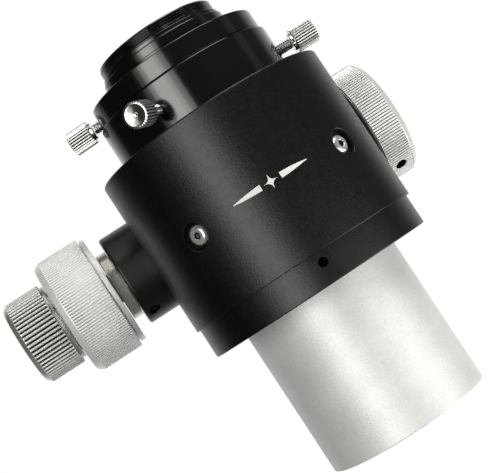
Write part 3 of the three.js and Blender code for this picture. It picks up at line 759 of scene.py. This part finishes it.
def make_drive_housing():
    bar = turned("drive_barrel", ring([
        (REDUCER_BORE_R, DRIVE_LEFT, 0.2),
        (DRIVE_R, DRIVE_LEFT, 1.0),
        (DRIVE_R, DRIVE_RIGHT, 1.0),
        (DRIVE_LIP_R, DRIVE_RIGHT, 0.3),
        (DRIVE_LIP_R, DRIVE_LIP_FROM, 0),
        (SHAFT_BORE_R, DRIVE_LIP_FROM, 0),
        (SHAFT_BORE_R, REDUCER_BORE_TO, 0),
        (REDUCER_BORE_R, REDUCER_BORE_TO, 0),
    ]), WIDE, on_shaft())
    screw = SET_SCREWS["reducer_set_screw"]
    back = SHAFT_Y + DRIVE_R
    tools = [
        turned("tool", rod(SADDLE_R, -1, BODY_TOP + 1), WIDE, upright()),
        hole(screw["hole_r"], screw["from"] - 1, DRIVE_R + 1, spoke(screw), (DRIVE_R, 0.3)),
        hole(TENSION_SCREW["hole_r"], BODY_R - 2, BODY_R + 12, radial(180, SHAFT_Z), (back, 0.3)),
    ]
    for x, z in saddle_places():
        place = radial(180, z, x=x)
        tools.append(hole(SADDLE_SCREW["shank_r"] + GAP, HOLE_FROM, HOLE_TO, place))
        well = rod(SADDLE_SCREW["well_r"], SADDLE_SCREW["seat"], HOLE_TO)
        tools.append(turned("tool", well, SMALL, place))
    show(cut(bar, *tools), "housing", "satin_black", "drive_housing")


def make_case():
    show(turned("reducer_collar", ring([
        (CASE_MOUTH_R, CASE_OUTER_X, 0.3),
        (CASE_FLANGE_R, CASE_OUTER_X, 0.45),
        (CASE_FLANGE_R, CASE_SHOULDER_X, 0.1),
        (CASE_SPIGOT_R, CASE_SHOULDER_X, 0),
        (CASE_SPIGOT_R, CASE_INNER_X, 0.3),
        (RACE_R, CASE_INNER_X, 0.3),
        (RACE_R, CASE_WALL_X, 0),
        (CASE_MOUTH_R, CASE_WALL_X, 0),
    ]), WIDE, on_shaft()), "housing", "polished_steel", "reducer_case", coat=COLLAR_STEEL)


# ---------- screws ----------


def dome(r, flat_r, low, high):
    """Rows of a button head, from its rim up to its flat top."""
    return [
        (flat_r + (r - flat_r) * math.cos(t), low + (high - low) * math.sin(t))
        for t in np.linspace(0, math.pi / 2, DOME_POINTS)
    ]


def threaded(r, low, high, ease):
    """Rows and thread of a stud, with eased ends."""
    wall = in_steps(r, low + ease, high - ease, STUD_STEP)
    rows = [(0, low), (r - ease, low), *wall, (r - ease, high), (0, high)]
    return rows, thread(r, STUD_PITCH, min(STUD_THREAD_DEEP, 0.2 * r), low - STUD_PITCH, high + STUD_PITCH)


def make_button_screws():
    under, tip_ease = BUTTON_TOP - BUTTON_THICK, 0.3
    rim = under + BUTTON_RIM
    for side, azimuth in ROLLER_AZIMUTHS.items():
        place = radial(azimuth, ROLLER_LEVEL)
        shank = in_steps(BUTTON_SHANK_R, BUTTON_TIP + tip_ease, under, STUD_STEP)
        edge = eased([(BUTTON_SHANK_R, under, 0), (BUTTON_HEAD_R, under, 0.1), (BUTTON_HEAD_R, rim, 0)])
        rows = [
            (0, BUTTON_TIP),
            (BUTTON_SHANK_R - tip_ease, BUTTON_TIP),
            *shank,
            *edge[1:],
            *dome(BUTTON_HEAD_R, BUTTON_FLAT_R, rim, BUTTON_TOP)[1:],
            (0, BUTTON_TOP),
        ]
        turns = thread(BUTTON_SHANK_R, SMALL_PITCH, 0.2, BUTTON_TIP, under - 1)
        piece = turned(f"button_screw_{side}", rows, MIDDLE, place, split(under, turns))
        chamfer = [
            (0, BUTTON_TOP - 0.25),
            (SOCKET_R - 0.1, BUTTON_TOP - 0.25),
            (SOCKET_R + 0.25, BUTTON_TOP + 0.1),
            (0, BUTTON_TOP + 0.1),
        ]
        socket = hexagon(SOCKET_R, BUTTON_TOP - 1, BUTTON_TOP + 1, place)
        cut(piece, socket, turned("tool", chamfer, SMALL, place))
        show(piece, "housing", "stainless", f"roller_screw_{side}", coat=SCREW_STEEL)
        # Painted shade: the faces of the hex socket get the dark steel finish
        paint(piece, FINISHES["dark_steel"], lambda r, h, facing: r < SOCKET_R + 0.05 and h > under)


def cap_screw(name, place, shank_r, tip, under, head_r, top, socket_r):
    """A cap screw with a finely knurled head."""
    knurls, knurl_deep, chamfer = 36, 0.12, 0.25
    head = eased([(shank_r, under, 0), (head_r, under, 0.15), (head_r, top, 0.35), (0, top, 0)])[1:]
    shank = in_steps(shank_r, tip + chamfer, under, 0.1)
    rows = [(0, tip), (shank_r - chamfer, tip), *shank, *head]
    turns = thread(shank_r, SMALL_PITCH, 0.2 * shank_r, tip, under)
    knurl = ribs(knurls, head_r, knurl_deep, under, top)
    piece = turned(name, rows, knurls * 6, place, split(under, turns, knurl))
    return cut(piece, hexagon(socket_r, top - 0.45 * (top - under), top + 1, place))


def make_saddle_screws():
    screw = SADDLE_SCREW
    under = screw["seat"] + GAP
    top = under + screw["thick"]
    for i, (x, z) in enumerate(saddle_places(), 1):
        place = radial(180, z, x=x)
        shank = (screw["shank_r"], screw["tip"], under)
        piece = cap_screw(f"saddle_cap_{i}", place, *shank, screw["head_r"], top, screw["socket_r"])
        show(piece, "housing", "dark_steel", f"saddle_screw_{i}")


def grub_screw(name, place, r, low, high, socket_r):
    rows, limit = threaded(r, low, high, 0.3)
    piece = turned(name, rows, SMALL, place, limit)
    return cut(piece, hexagon(socket_r, high - SET_SOCKET_DEEP, high + 1, place))


def make_set_screws():
    bodies = {
        "reducer_set_screw": "housing",
        "right_knob_set_screw": "drive",
        "left_knob_set_screw": "drive",
        "fine_knob_set_screw": "fine",
    }
    for node, body in bodies.items():
        screw = SET_SCREWS[node]
        socket_r = min(SOCKET_R, SET_SOCKET_PART * screw["r"])
        piece = grub_screw(f"{node}_grub", spoke(screw), screw["r"], screw["from"], screw["to"], socket_r)
        show(piece, body, "dark_steel", node)
    screw = TENSION_SCREW
    piece = grub_screw("tension_grub", radial(180, SHAFT_Z), screw["r"], screw["tip"], screw["end"], SOCKET_R)
    show(piece, "housing", "dark_steel", "tension_screw")


def make_thumb_screws():
    rim_r, dish_r, dimple_r, drill_r = 3.3, 3.0, 0.9, 0.6
    for key, screw in THUMB_SCREWS.items():
        place = radial(screw["azimuth"], screw["z"], screw["start"])
        rows, limit = threaded(STUD_R, -GAP - screw["long"], -GAP, 0.35)
        show(turned(f"{key}_threads", rows, SMALL, place, limit), f"{key}_stud", "stainless", f"{key}_stud")
        rows = eased([
            (0, 0, 0),
            (THUMB_COLLAR_R, 0, 0.2),
            (THUMB_COLLAR_R, THUMB_COLLAR_LONG, 0),
            (THUMB_R, THUMB_COLLAR_LONG, 0.4),
            (THUMB_R, THUMB_LONG - 0.15, 0.25),
            (rim_r, THUMB_LONG, 0.15),
            (dish_r, THUMB_LONG - 0.1, 0.1),
            (dimple_r, THUMB_LONG - 0.3, 0.05),
            (drill_r, THUMB_LONG - 0.75, 0.05),
            (0, THUMB_LONG - 0.9, 0),
        ])
        knurls = ribs(THUMB_KNURLS, THUMB_R, THUMB_KNURL_DEEP, THUMB_COLLAR_LONG - 1, THUMB_LONG + 1)
        piece = turned(f"{key}_knurl", rows, THUMB_KNURLS * 12, place, knurls)
        band = (THUMB_BAND, THUMB_R - 1.1 * THUMB_KNURL_DEEP, THUMB_COLLAR_LONG, THUMB_LONG - 0.1)
        show(piece, f"{key}_head", "polished_steel", f"{key}_head", band=band)


# ---------- eyepiece end ----------


def baffles(r, low, high):
    """Rows of a bore lined with fine rings that stop stray light."""
    count = round((high - low) / BAFFLE_PITCH)
    rows = []
    for i in range(count):
        start = low + (high - low) * i / count
        rows += [(r, start + 0.1), (r + BAFFLE_DEEP, start + BAFFLE_PITCH / 2)]
    return [*rows, (r, high - 0.05)]


def make_drawtube():
    mouth, rim, inner_rim = 0.35, 0.45, 0.2
    edges = [(TUBE_BORE_R, TUBE_BOTTOM, 0), (TUBE_R, TUBE_BOTTOM, rim), (TUBE_R, TUBE_TOP, 0.2)]
    piece = turned("drawtube_shell", [
        *eased(edges)[1:],
        (TUBE_BORE_R + inner_rim, TUBE_TOP),
        (TUBE_BORE_R, TUBE_TOP - inner_rim),
        *reversed(baffles(TUBE_BORE_R, TUBE_BOTTOM + 3, TUBE_TOP - 12)),
        (TUBE_BORE_R, TUBE_BOTTOM + mouth),
        (TUBE_BORE_R + mouth, TUBE_BOTTOM),
        (TUBE_R - rim, TUBE_BOTTOM),
    ])
    flat = block("tool", (-FLAT_HALF_WIDE, FLAT_Y, FLAT_FROM), (FLAT_HALF_WIDE, FLAT_Y + 4, FLAT_TO))
    tapped = hole(STOP_SCREW["hole_r"], TUBE_BORE_R - 1, TUBE_R + 1, radial(180, STOP_Z))
    show(cut(piece, flat, tapped), "drawtube", "blasted_silver", "drawtube", lining_r=TUBE_BORE_R + 0.6)


def make_stop_screw():
    screw = STOP_SCREW
    place = radial(180, STOP_Z)
    tip, seat = TUBE_BORE_R + GAP, TUBE_R + GAP
    top = seat + screw["thick"]
    shank = in_steps(screw["shank_r"], tip, seat, 0.07)
    head = dome(screw["head_r"], screw["flat_r"], seat + screw["rim"], top)
    rows = [(0, tip), *shank, (screw["head_r"], seat), *head, (0, top)]
    piece = turned("stop_button", rows, SMALL, place)
    cut(piece, hexagon(screw["socket_r"], seat + screw["socket_from"], seat + 2, place))
    show(piece, "drawtube", "stainless", "travel_stop_screw")


def stud_hole(screw, low, outer_r):
    """A tool for the hole of a thumb screw's stud, chamfered where it opens."""
    place = radial(screw["azimuth"], screw["z"])
    return hole(STUD_HOLE_R, low, outer_r + 1, place, (outer_r, 0.25))


def make_holder():
    groove = HOLDER_GROOVE
    piece = turned("holder_shell", ring([
        (HOLDER_SOCKET["r"], HOLDER_BOTTOM, 0.15),
        (HOLDER_R, HOLDER_BOTTOM, 0.45),
        (HOLDER_R, HOLDER_TOP, 0.4),
        (HOLDER_BORE_R, HOLDER_TOP, 0.4),
        (HOLDER_BORE_R, groove["to"], 0.05),
        (groove["r"], groove["to"], 0),
        (groove["r"], groove["from"], 0),
        (HOLDER_BORE_R, groove["from"], 0.05),
        (HOLDER_BORE_R, HOLDER_SOCKET["top"], 0),
        (HOLDER_SOCKET["r"], HOLDER_SOCKET["top"], 0),
    ]))
    screws = [screw for key, screw in THUMB_SCREWS.items() if key.startswith("holder")]
    tools = [stud_hole(screw, HOLDER_BORE_R, HOLDER_R) for screw in screws]
    show(cut(piece, *tools), "drawtube", "gloss_black", "eyepiece_holder", lining_r=HOLDER_BORE_R + 2)


def make_adapter():
    groove = ADAPTER_GROOVE
    mouth, lead_in, chamfer = 0.4, 0.4, 0.35
    step = CAMERA_THREAD_PITCH / 8
    thread_wall = in_steps(THREAD_R, THREAD_FROM + lead_in, ADAPTER_TOP - chamfer, step)
    outside = eased([
        (SMALL_BORE_R + mouth, BARREL_BOTTOM, 0),
        (BARREL_R, BARREL_BOTTOM, 0.6),
        (BARREL_R, ADAPTER_BOTTOM, 0.1),
        (ADAPTER_R, ADAPTER_BOTTOM, 0.4),
        (ADAPTER_R, ADAPTER_FLANGE_TOP, 0.4),
        (STEP_R, ADAPTER_FLANGE_TOP, 0.15),
        (STEP_R, STEP_GROOVE["from"], 0.05),
        (STEP_GROOVE["r"], STEP_GROOVE["from"], 0),
        (STEP_GROOVE["r"], STEP_GROOVE["to"], 0),
        (STEP_R, STEP_GROOVE["to"], 0.05),
        (STEP_R, STEP_TOP, 0.25),
        (NECK_R, NECK_FROM, 0.05),
        (NECK_R, NECK_TO, 0.15),
        (THREAD_ROOT_R, THREAD_FROM, 0.1),
        (THREAD_R, THREAD_FROM + lead_in, 0),
    ])[:-1]
    inside = [
        (THREAD_R - chamfer, ADAPTER_TOP),
        (SMALL_BORE_R + 0.3, ADAPTER_TOP),
        (SMALL_BORE_R, ADAPTER_TOP - 0.3),
        (SMALL_BORE_R, groove["to"]),
        (groove["r"], groove["to"]),
        (groove["r"], groove["from"]),
        (SMALL_BORE_R, groove["from"]),
        *reversed(baffles(SMALL_BORE_R, BARREL_BOTTOM + 1, groove["from"] - 2)),
        (SMALL_BORE_R, BARREL_BOTTOM + mouth),
        (SMALL_BORE_R + mouth, BARREL_BOTTOM),
    ]
    deep, thread_end = THREAD_R - THREAD_ROOT_R, ADAPTER_TOP + CAMERA_THREAD_PITCH
    turns = thread(THREAD_R, CAMERA_THREAD_PITCH, deep, THREAD_FROM, thread_end)
    rows = [*outside, *thread_wall, *inside]
    piece = turned("adapter_shell", rows, WIDE, upright(), split(NECK_TO + 0.2, None, turns))
    drilled = stud_hole(THUMB_SCREWS["adapter_screw"], SMALL_BORE_R - 1, ADAPTER_R)
    show(cut(piece, drilled), "adapter", "gloss_black", "reducing_adapter", lining_r=SMALL_BORE_R + 2)


def make_split_ring(name, body, node, size):
    """A brass clamping ring with its split."""
    inner, outer, low, high = size["inner"], size["outer"], size["from"], size["to"]
    rows = ring([(inner, low, 0.15), (outer, low, 0.15), (outer, high, 0.15), (inner, high, 0.15)])
    opening = block("tool", (inner - 1, -RING_SPLIT / 2, low - 1), (outer + 1, RING_SPLIT / 2, high + 1))
    show(cut(turned(name, rows), opening), body, "brass", node)


# ---------- knobs ----------


def paint_hole_shade(piece, screw, place, knob_r):
    """Paints the walls of a knob's set-screw hole matt black, as painted shade inside the hole."""
    height = abs(screw["x"] - place.translation.x / MM)
    near, inner_r, outer_r = screw["hole_r"] + 0.1, screw["from"] + 0.2, knob_r - 1
    paint(piece, MATT_BLACK, lambda r, h, facing: inner_r < r < outer_r and abs(h - height) < near)


COARSE = {
    "r": COARSE_R,
    "ribs": COARSE_RIBS,
    "deep": COARSE_RIB_DEEP,
    "steps_each": 8,
    "mouth": 0.35,
    "look": ("drive", "satin_silver", COARSE_BAND),
}
FINE = {
    "r": FINE_R,
    "ribs": FINE_RIBS,
    "deep": FINE_RIB_DEEP,
    "steps_each": 12,
    "mouth": 0.3,
    "look": ("fine", "nickel", FINE_BAND),
}


def make_knob(name, node, kind, place, rows, ribs_from, ribs_to):
    """A knob with a band of ribs and the hole of its set screw."""
    r, deep = kind["r"], kind["deep"]
    side = node.split("_")[0]
    screw = SET_SCREWS[f"{side}_knob_set_screw"]
    limit = ribs(kind["ribs"], r, deep, ribs_from, ribs_to)
    piece = turned(name, rows, kind["ribs"] * kind["steps_each"], place, limit)
    cut(piece, hole(screw["hole_r"], screw["from"] - 1, r + 1, spoke(screw), (r, kind["mouth"])))
    body, slot, coat = kind["look"]
    show(piece, body, slot, node, band=(coat, r - 1.2 * deep, ribs_from, ribs_to))
    # Painted shade: the set-screw hole's walls are made matt black
    paint_hole_shade(piece, screw, place, r)


def make_left_coarse_knob():
    long = LEFT_KNOB_START - LEFT_KNOB_END
    lip, shadow, ribs_end = 1.75, 2.2, 16.9
    lip_r, shadow_r, dish = COARSE_R - 1.2, COARSE_R - 1.9, long - 0.35
    rows = ring([
        (LEFT_BORE_R, 0, 0.3),
        (lip_r, 0, 0.35),
        (lip_r, lip, 0.2),
        (shadow_r, lip, 0),
        (shadow_r, shadow, 0),
        (COARSE_R, shadow, 0.25),
        (COARSE_R, ribs_end, 0.3),
        (COARSE_R - 1.25, long, 0.5),
        (COARSE_R - 4, long, 0.1),
        (COARSE_R - 4.4, dish, 0.1),
        (LEFT_BORE_R + 2.6, dish, 0.1),
        (LEFT_BORE_R + 2.4, long, 0.1),
        (LEFT_BORE_R, long, 0.3),
    ])
    place = on_shaft(LEFT_KNOB_START, -1)
    make_knob("coarse_knob_left", "left_coarse_knob", COARSE, place, rows, shadow + 0.6, ribs_end)


def make_right_coarse_knob():
    long = RIGHT_KNOB_END - RIGHT_KNOB_START
    lip, ribs_end, dish, boss = 0.3, 9.5, long - 0.8, long - 0.3
    lip_r = COARSE_R - 1.05
    bore_end = RIGHT_BORE_TO - RIGHT_KNOB_START
    rows = eased([
        (0, bore_end + 0.8, 0),
        (RIGHT_BORE_R, bore_end, 0),
        (RIGHT_BORE_R, 0, 0.3),
        (lip_r, 0, 0.15),
        (lip_r, lip, 0),
        (COARSE_R, lip, 0.25),
        (COARSE_R, ribs_end, 0.3),
        (COARSE_R - 1.7, long, 1.2),
        (COARSE_R - 4.2, long, 0.3),
        (COARSE_R - 5.2, dish, 0.4),
        (4.6, dish, 0.2),
        (4.2, boss, 0.3),
        (0, boss, 0),
    ])
    place = on_shaft(RIGHT_KNOB_START)
    make_knob("coarse_knob_right", "right_coarse_knob", COARSE, place, rows, lip, ribs_end)


def make_fine_knob():
    long = FINE_KNOB_START - FINE_KNOB_END
    bore_end = FINE_KNOB_START - FINE_BORE_TO
    lip, ribs_from, ribs_to, dish, boss = 0.5, 1.7, long - 1.7, long - 0.6, long - 0.2
    lip_r, neck_r = FINE_R - 2.6, FINE_R - 1.1
    rows = eased([
        (0, bore_end, 0),
        (FINE_BORE_R, bore_end, 0),
        (FINE_BORE_R, 0, 0.2),
        (lip_r, 0, 0.1),
        (lip_r, lip, 0),
        (neck_r, lip, 0.3),
        (neck_r, ribs_from, 0),
        (FINE_R, ribs_from, 0.35),
        (FINE_R, ribs_to, 0.4),
        (FINE_R - 1.4, long, 0.6),
        (FINE_R - 2.6, long, 0.25),
        (FINE_R - 3.1, dish, 0.25),
        (3.4, dish, 0.2),
        (3.0, boss, 0.25),
        (0, boss, 0),
    ])
    make_knob("fine_knob_shell", "fine_knob", FINE, on_shaft(FINE_KNOB_START, -1), rows, ribs_from, ribs_to)


# ---------- printed mark ----------


def printed(name, spread, half_high):
    """A thin printed shape on the front of the housing, as high above the mark's middle as below it.
    spread lists places across the mark, and half_high the shape's half height at each."""
    points = []
    for across, half in zip(spread, half_high):
        angle = across / BODY_R
        for r in MARK_RADII:
            for up in (-half, half):
                points.append((r * math.sin(angle) * MM, -r * math.cos(angle) * MM, (MARK_Z + up) * MM))
    faces = [[0, 2, 3, 1]]
    for i in range(0, len(points) - 4, 4):
        for a, b in ((0, 1), (1, 3), (3, 2), (2, 0)):
            faces.append([i + a, i + b, i + b + 4, i + a + 4])
    last = len(points) - 4
    faces.append([last, last + 1, last + 3, last + 2])
    show(solid(name, points, faces), "housing", "satin_black", coat=WHITE_PRINT)


def make_mark():
    """Two tapered bars beside a small four-pointed star."""
    tip = MARK_STAR_R
    spread = np.linspace(-tip, tip, 25)
    printed("mark_star", spread, [0.01 + tip * (1 - math.sqrt(abs(u) / tip)) ** 2 for u in spread])
    for side in (-1, 1):
        spread = np.linspace(MARK_INNER, MARK_HALF_WIDE, 25)
        along = (spread - MARK_INNER) / (MARK_HALF_WIDE - MARK_INNER)
        half = MARK_BAR_HALF_HIGH * (1 - 0.9 * along**1.6)
        name = "mark_bar_right" if side > 0 else "mark_bar_left"
        printed(name, side * spread, half)


# ---------- building ----------


def finish_cad_nodes():
    """Gives each CAD node the finish of its slot, for those that no piece stands for."""
    for row in frame["record"]["subparts"]:
        node = frame["nodes"][row["node"]]
        for place in node.material_slots:
            place.material = FINISHES[row["material_slot"]]


finish_cad_nodes()
make_body()
make_spigot_ring()
make_drive_housing()
make_case()
make_button_screws()
make_saddle_screws()
make_set_screws()
make_thumb_screws()
make_drawtube()
make_stop_screw()
make_holder()
make_adapter()
make_split_ring("two_inch_brass", "drawtube", "compression_ring_two_inch", TWO_INCH_RING)
make_split_ring("small_brass", "adapter", "compression_ring_small", SMALL_RING)
make_left_coarse_knob()
make_right_coarse_knob()
make_fine_knob()
make_mark()

# ---------- camera ----------

# In millimetres and degrees
CAMERA_DISTANCE = 421.35
CAMERA_AZIMUTH = 7.526
CAMERA_HEIGHT = -5.32
CAMERA_YAW = -1.503
CAMERA_PITCH_UP = 3.110
CAMERA_ROLL = -33.372
CAMERA_LENS = 97.31
SENSOR = 36


def make_camera():
    """Looks from the front, a little from the left and from below, and leans over."""
    around, yaw = math.radians(CAMERA_AZIMUTH), math.radians(CAMERA_YAW)
    pitch, roll = math.radians(CAMERA_PITCH_UP), math.radians(CAMERA_ROLL)
    heading = around + yaw
    ahead = Vector((
        math.sin(heading) * math.cos(pitch),
        math.cos(heading) * math.cos(pitch),
        math.sin(pitch),
    ))
    right = Vector((math.cos(heading), -math.sin(heading), 0))
    up = right.cross(ahead)
    across = right * math.cos(roll) + up * math.sin(roll)
    upwards = up * math.cos(roll) - right * math.sin(roll)
    data = bpy.data.cameras.new("camera")
    data.lens = CAMERA_LENS
    data.sensor_width = SENSOR
    data.clip_start = 0.01
    place = Matrix((
        (across.x, upwards.x, -ahead.x, -CAMERA_DISTANCE * math.sin(around) * MM),
        (across.y, upwards.y, -ahead.y, -CAMERA_DISTANCE * math.cos(around) * MM),
        (across.z, upwards.z, -ahead.z, CAMERA_HEIGHT * MM),
        (0, 0, 0, 1),
    ))
    bpy.context.scene.camera = add_object("camera", data, place)


# ---------- studio ----------

# Places and sizes of the studio are in metres
WARM = (1.0, 0.985, 0.94)
STUDIO_LEVEL = 0.01
CARD_LEVEL = -0.054
KEY_AZIMUTH = -31
KEY_ELEVATION = 4
KEY_DISTANCE = 1.0
KEY_HIGH = 1.0
# Side-by-side panels of the key, as (first edge, last edge, radiance), in degrees from its middle
KEY_PANELS = ((-21, -14, 0.5), (-14, -8, 2.2), (-8, 8, 4.3), (8, 14, 3.4), (14, 21, 1.7))
# The other lights, as (azimuth, elevation, distance, width, height, radiance, level it faces)
SOFTBOXES = {
    "top": (0, 82, 0.9, 0.8, 0.6, 0.6, STUDIO_LEVEL),
    "fill": (46, 52, 0.9, 0.8, 0.5, 3.8, STUDIO_LEVEL),
    "bounce": (72, -45, 0.9, 0.8, 0.6, 3.6, STUDIO_LEVEL),
    "streak": (84, 6, 1.0, 0.22, 0.9, 0.10, STUDIO_LEVEL),
    "card": (42, 0, 0.20, 0.20, 0.06, 2.3, CARD_LEVEL),
}
# The room's strength at both ends of a range, and that range of how far a direction points to the right,
# to the backdrop or upwards
BACKDROP_WAY = (0.12, 0.99, 0.0)
ROOM_SIDES = (0.025, 0.085, -0.5, 0.5)
ROOM_BACKDROP = (0.0, 1.0, 0.45, 0.90)
ROOM_BELOW = (0.14, 0.0, -0.5, -0.1)
# The floor, just under the lowest rim
FLOOR_R = 3.0
FLOOR_SIDES = 64
FLOOR_DROP = 0.0003
FLOOR_GREY = (0.35, 0.35, 0.35)
FLOOR_GLOW = 0.95


def softbox(name, azimuth, elevation, distance, wide, high, radiance, level):
    """A soft rectangular light that faces the optical axis at a level."""
    data = bpy.data.lights.new(name, "AREA")
    data.shape = "RECTANGLE"
    data.size, data.size_y = wide, high
    data.energy = math.pi * radiance * wide * high
    data.color = WARM
    a, e = math.radians(azimuth), math.radians(elevation)
    out = Vector((math.sin(a) * math.cos(e), -math.cos(a) * math.cos(e), math.sin(e)))
    facing = out.to_track_quat("Z", "Y").to_matrix().to_4x4()
    light = add_object(name, data, Matrix.Translation(Vector((0, 0, level)) + out * distance) @ facing)
    light.visible_camera = False


def make_lights():
    for i, (first, last, radiance) in enumerate(KEY_PANELS, 1):
        wide = 2 * KEY_DISTANCE * math.tan(math.radians(last - first) / 2)
        azimuth = KEY_AZIMUTH + (first + last) / 2
        settings = (KEY_ELEVATION, KEY_DISTANCE, wide, KEY_HIGH, radiance, STUDIO_LEVEL)
        softbox(f"key_{i}", azimuth, *settings)
    for name, settings in SOFTBOXES.items():
        softbox(name, *settings)


def make_world():
    """A plain room: white behind the object, dim in front of it, and darker to the left than to the right.
    The camera itself sees it white all round."""
    world = bpy.data.worlds.new("room")
    world.use_nodes = True
    tree = world.node_tree
    ground = tree.nodes["Background"]
    way = add_node(tree, "TexCoord").outputs["Generated"]
    parts = add_node(tree, "SeparateXYZ", {0: way})
    sides = mapped(tree, parts.outputs["X"], *ROOM_SIDES)
    away = add_node(tree, "VectorMath", {0: way, 1: BACKDROP_WAY}, operation="DOT_PRODUCT")
    behind = mapped(tree, away.outputs["Value"], *ROOM_BACKDROP)
    below = mapped(tree, parts.outputs["Z"], *ROOM_BELOW)
    most = below
    for part in (behind, sides):
        most = add_node(tree, "Math", {0: most, 1: part}, operation="MAXIMUM").outputs["Value"]
    seen = add_node(tree, "LightPath").outputs["Is Camera Ray"]
    shown = add_node(tree, "Math", {0: most, 1: seen}, operation="MAXIMUM").outputs["Value"]
    tree.links.new(shown, ground.inputs["Strength"])
    ground.inputs["Color"].default_value = (1, 1, 1, 1)
    bpy.context.scene.world = world


def make_floor():
    """A pale floor under the drawtube's rim, clear from beneath so that the underside can be looked at."""
    mesh = bpy.data.meshes.new("floor")
    height = TUBE_BOTTOM * MM - FLOOR_DROP
    angles = [i * TURN / FLOOR_SIDES for i in range(FLOOR_SIDES)]
    corners = [(FLOOR_R * math.cos(angle), FLOOR_R * math.sin(angle), height) for angle in angles]
    mesh.from_pydata(corners, [], [list(range(FLOOR_SIDES))])
    floor = add_object("floor", mesh)
    coat = finish("floor", FLOOR_GREY, 0, 0.7, specular=0.1, vary=0.004)
    tree = coat.node_tree
    shader = tree.nodes["Principled BSDF"]
    shader.inputs["Emission Color"].default_value = (1, 1, 1, 1)
    shader.inputs["Emission Strength"].default_value = FLOOR_GLOW
    beneath = add_node(tree, "NewGeometry").outputs["Backfacing"]
    clear = add_node(tree, "BsdfTransparent").outputs["BSDF"]
    sheet = add_node(tree, "MixShader", {0: beneath, 1: shader.outputs["BSDF"], 2: clear})
    tree.links.new(sheet.outputs["Shader"], tree.nodes["Material Output"].inputs["Surface"])
    mesh.materials.append(coat)
    floor.visible_diffuse = False
    floor.visible_glossy = False
    floor.visible_shadow = False


make_camera()
make_lights()
make_world()
make_floor()
bpy.context.scene.view_settings.view_transform = "Standard"
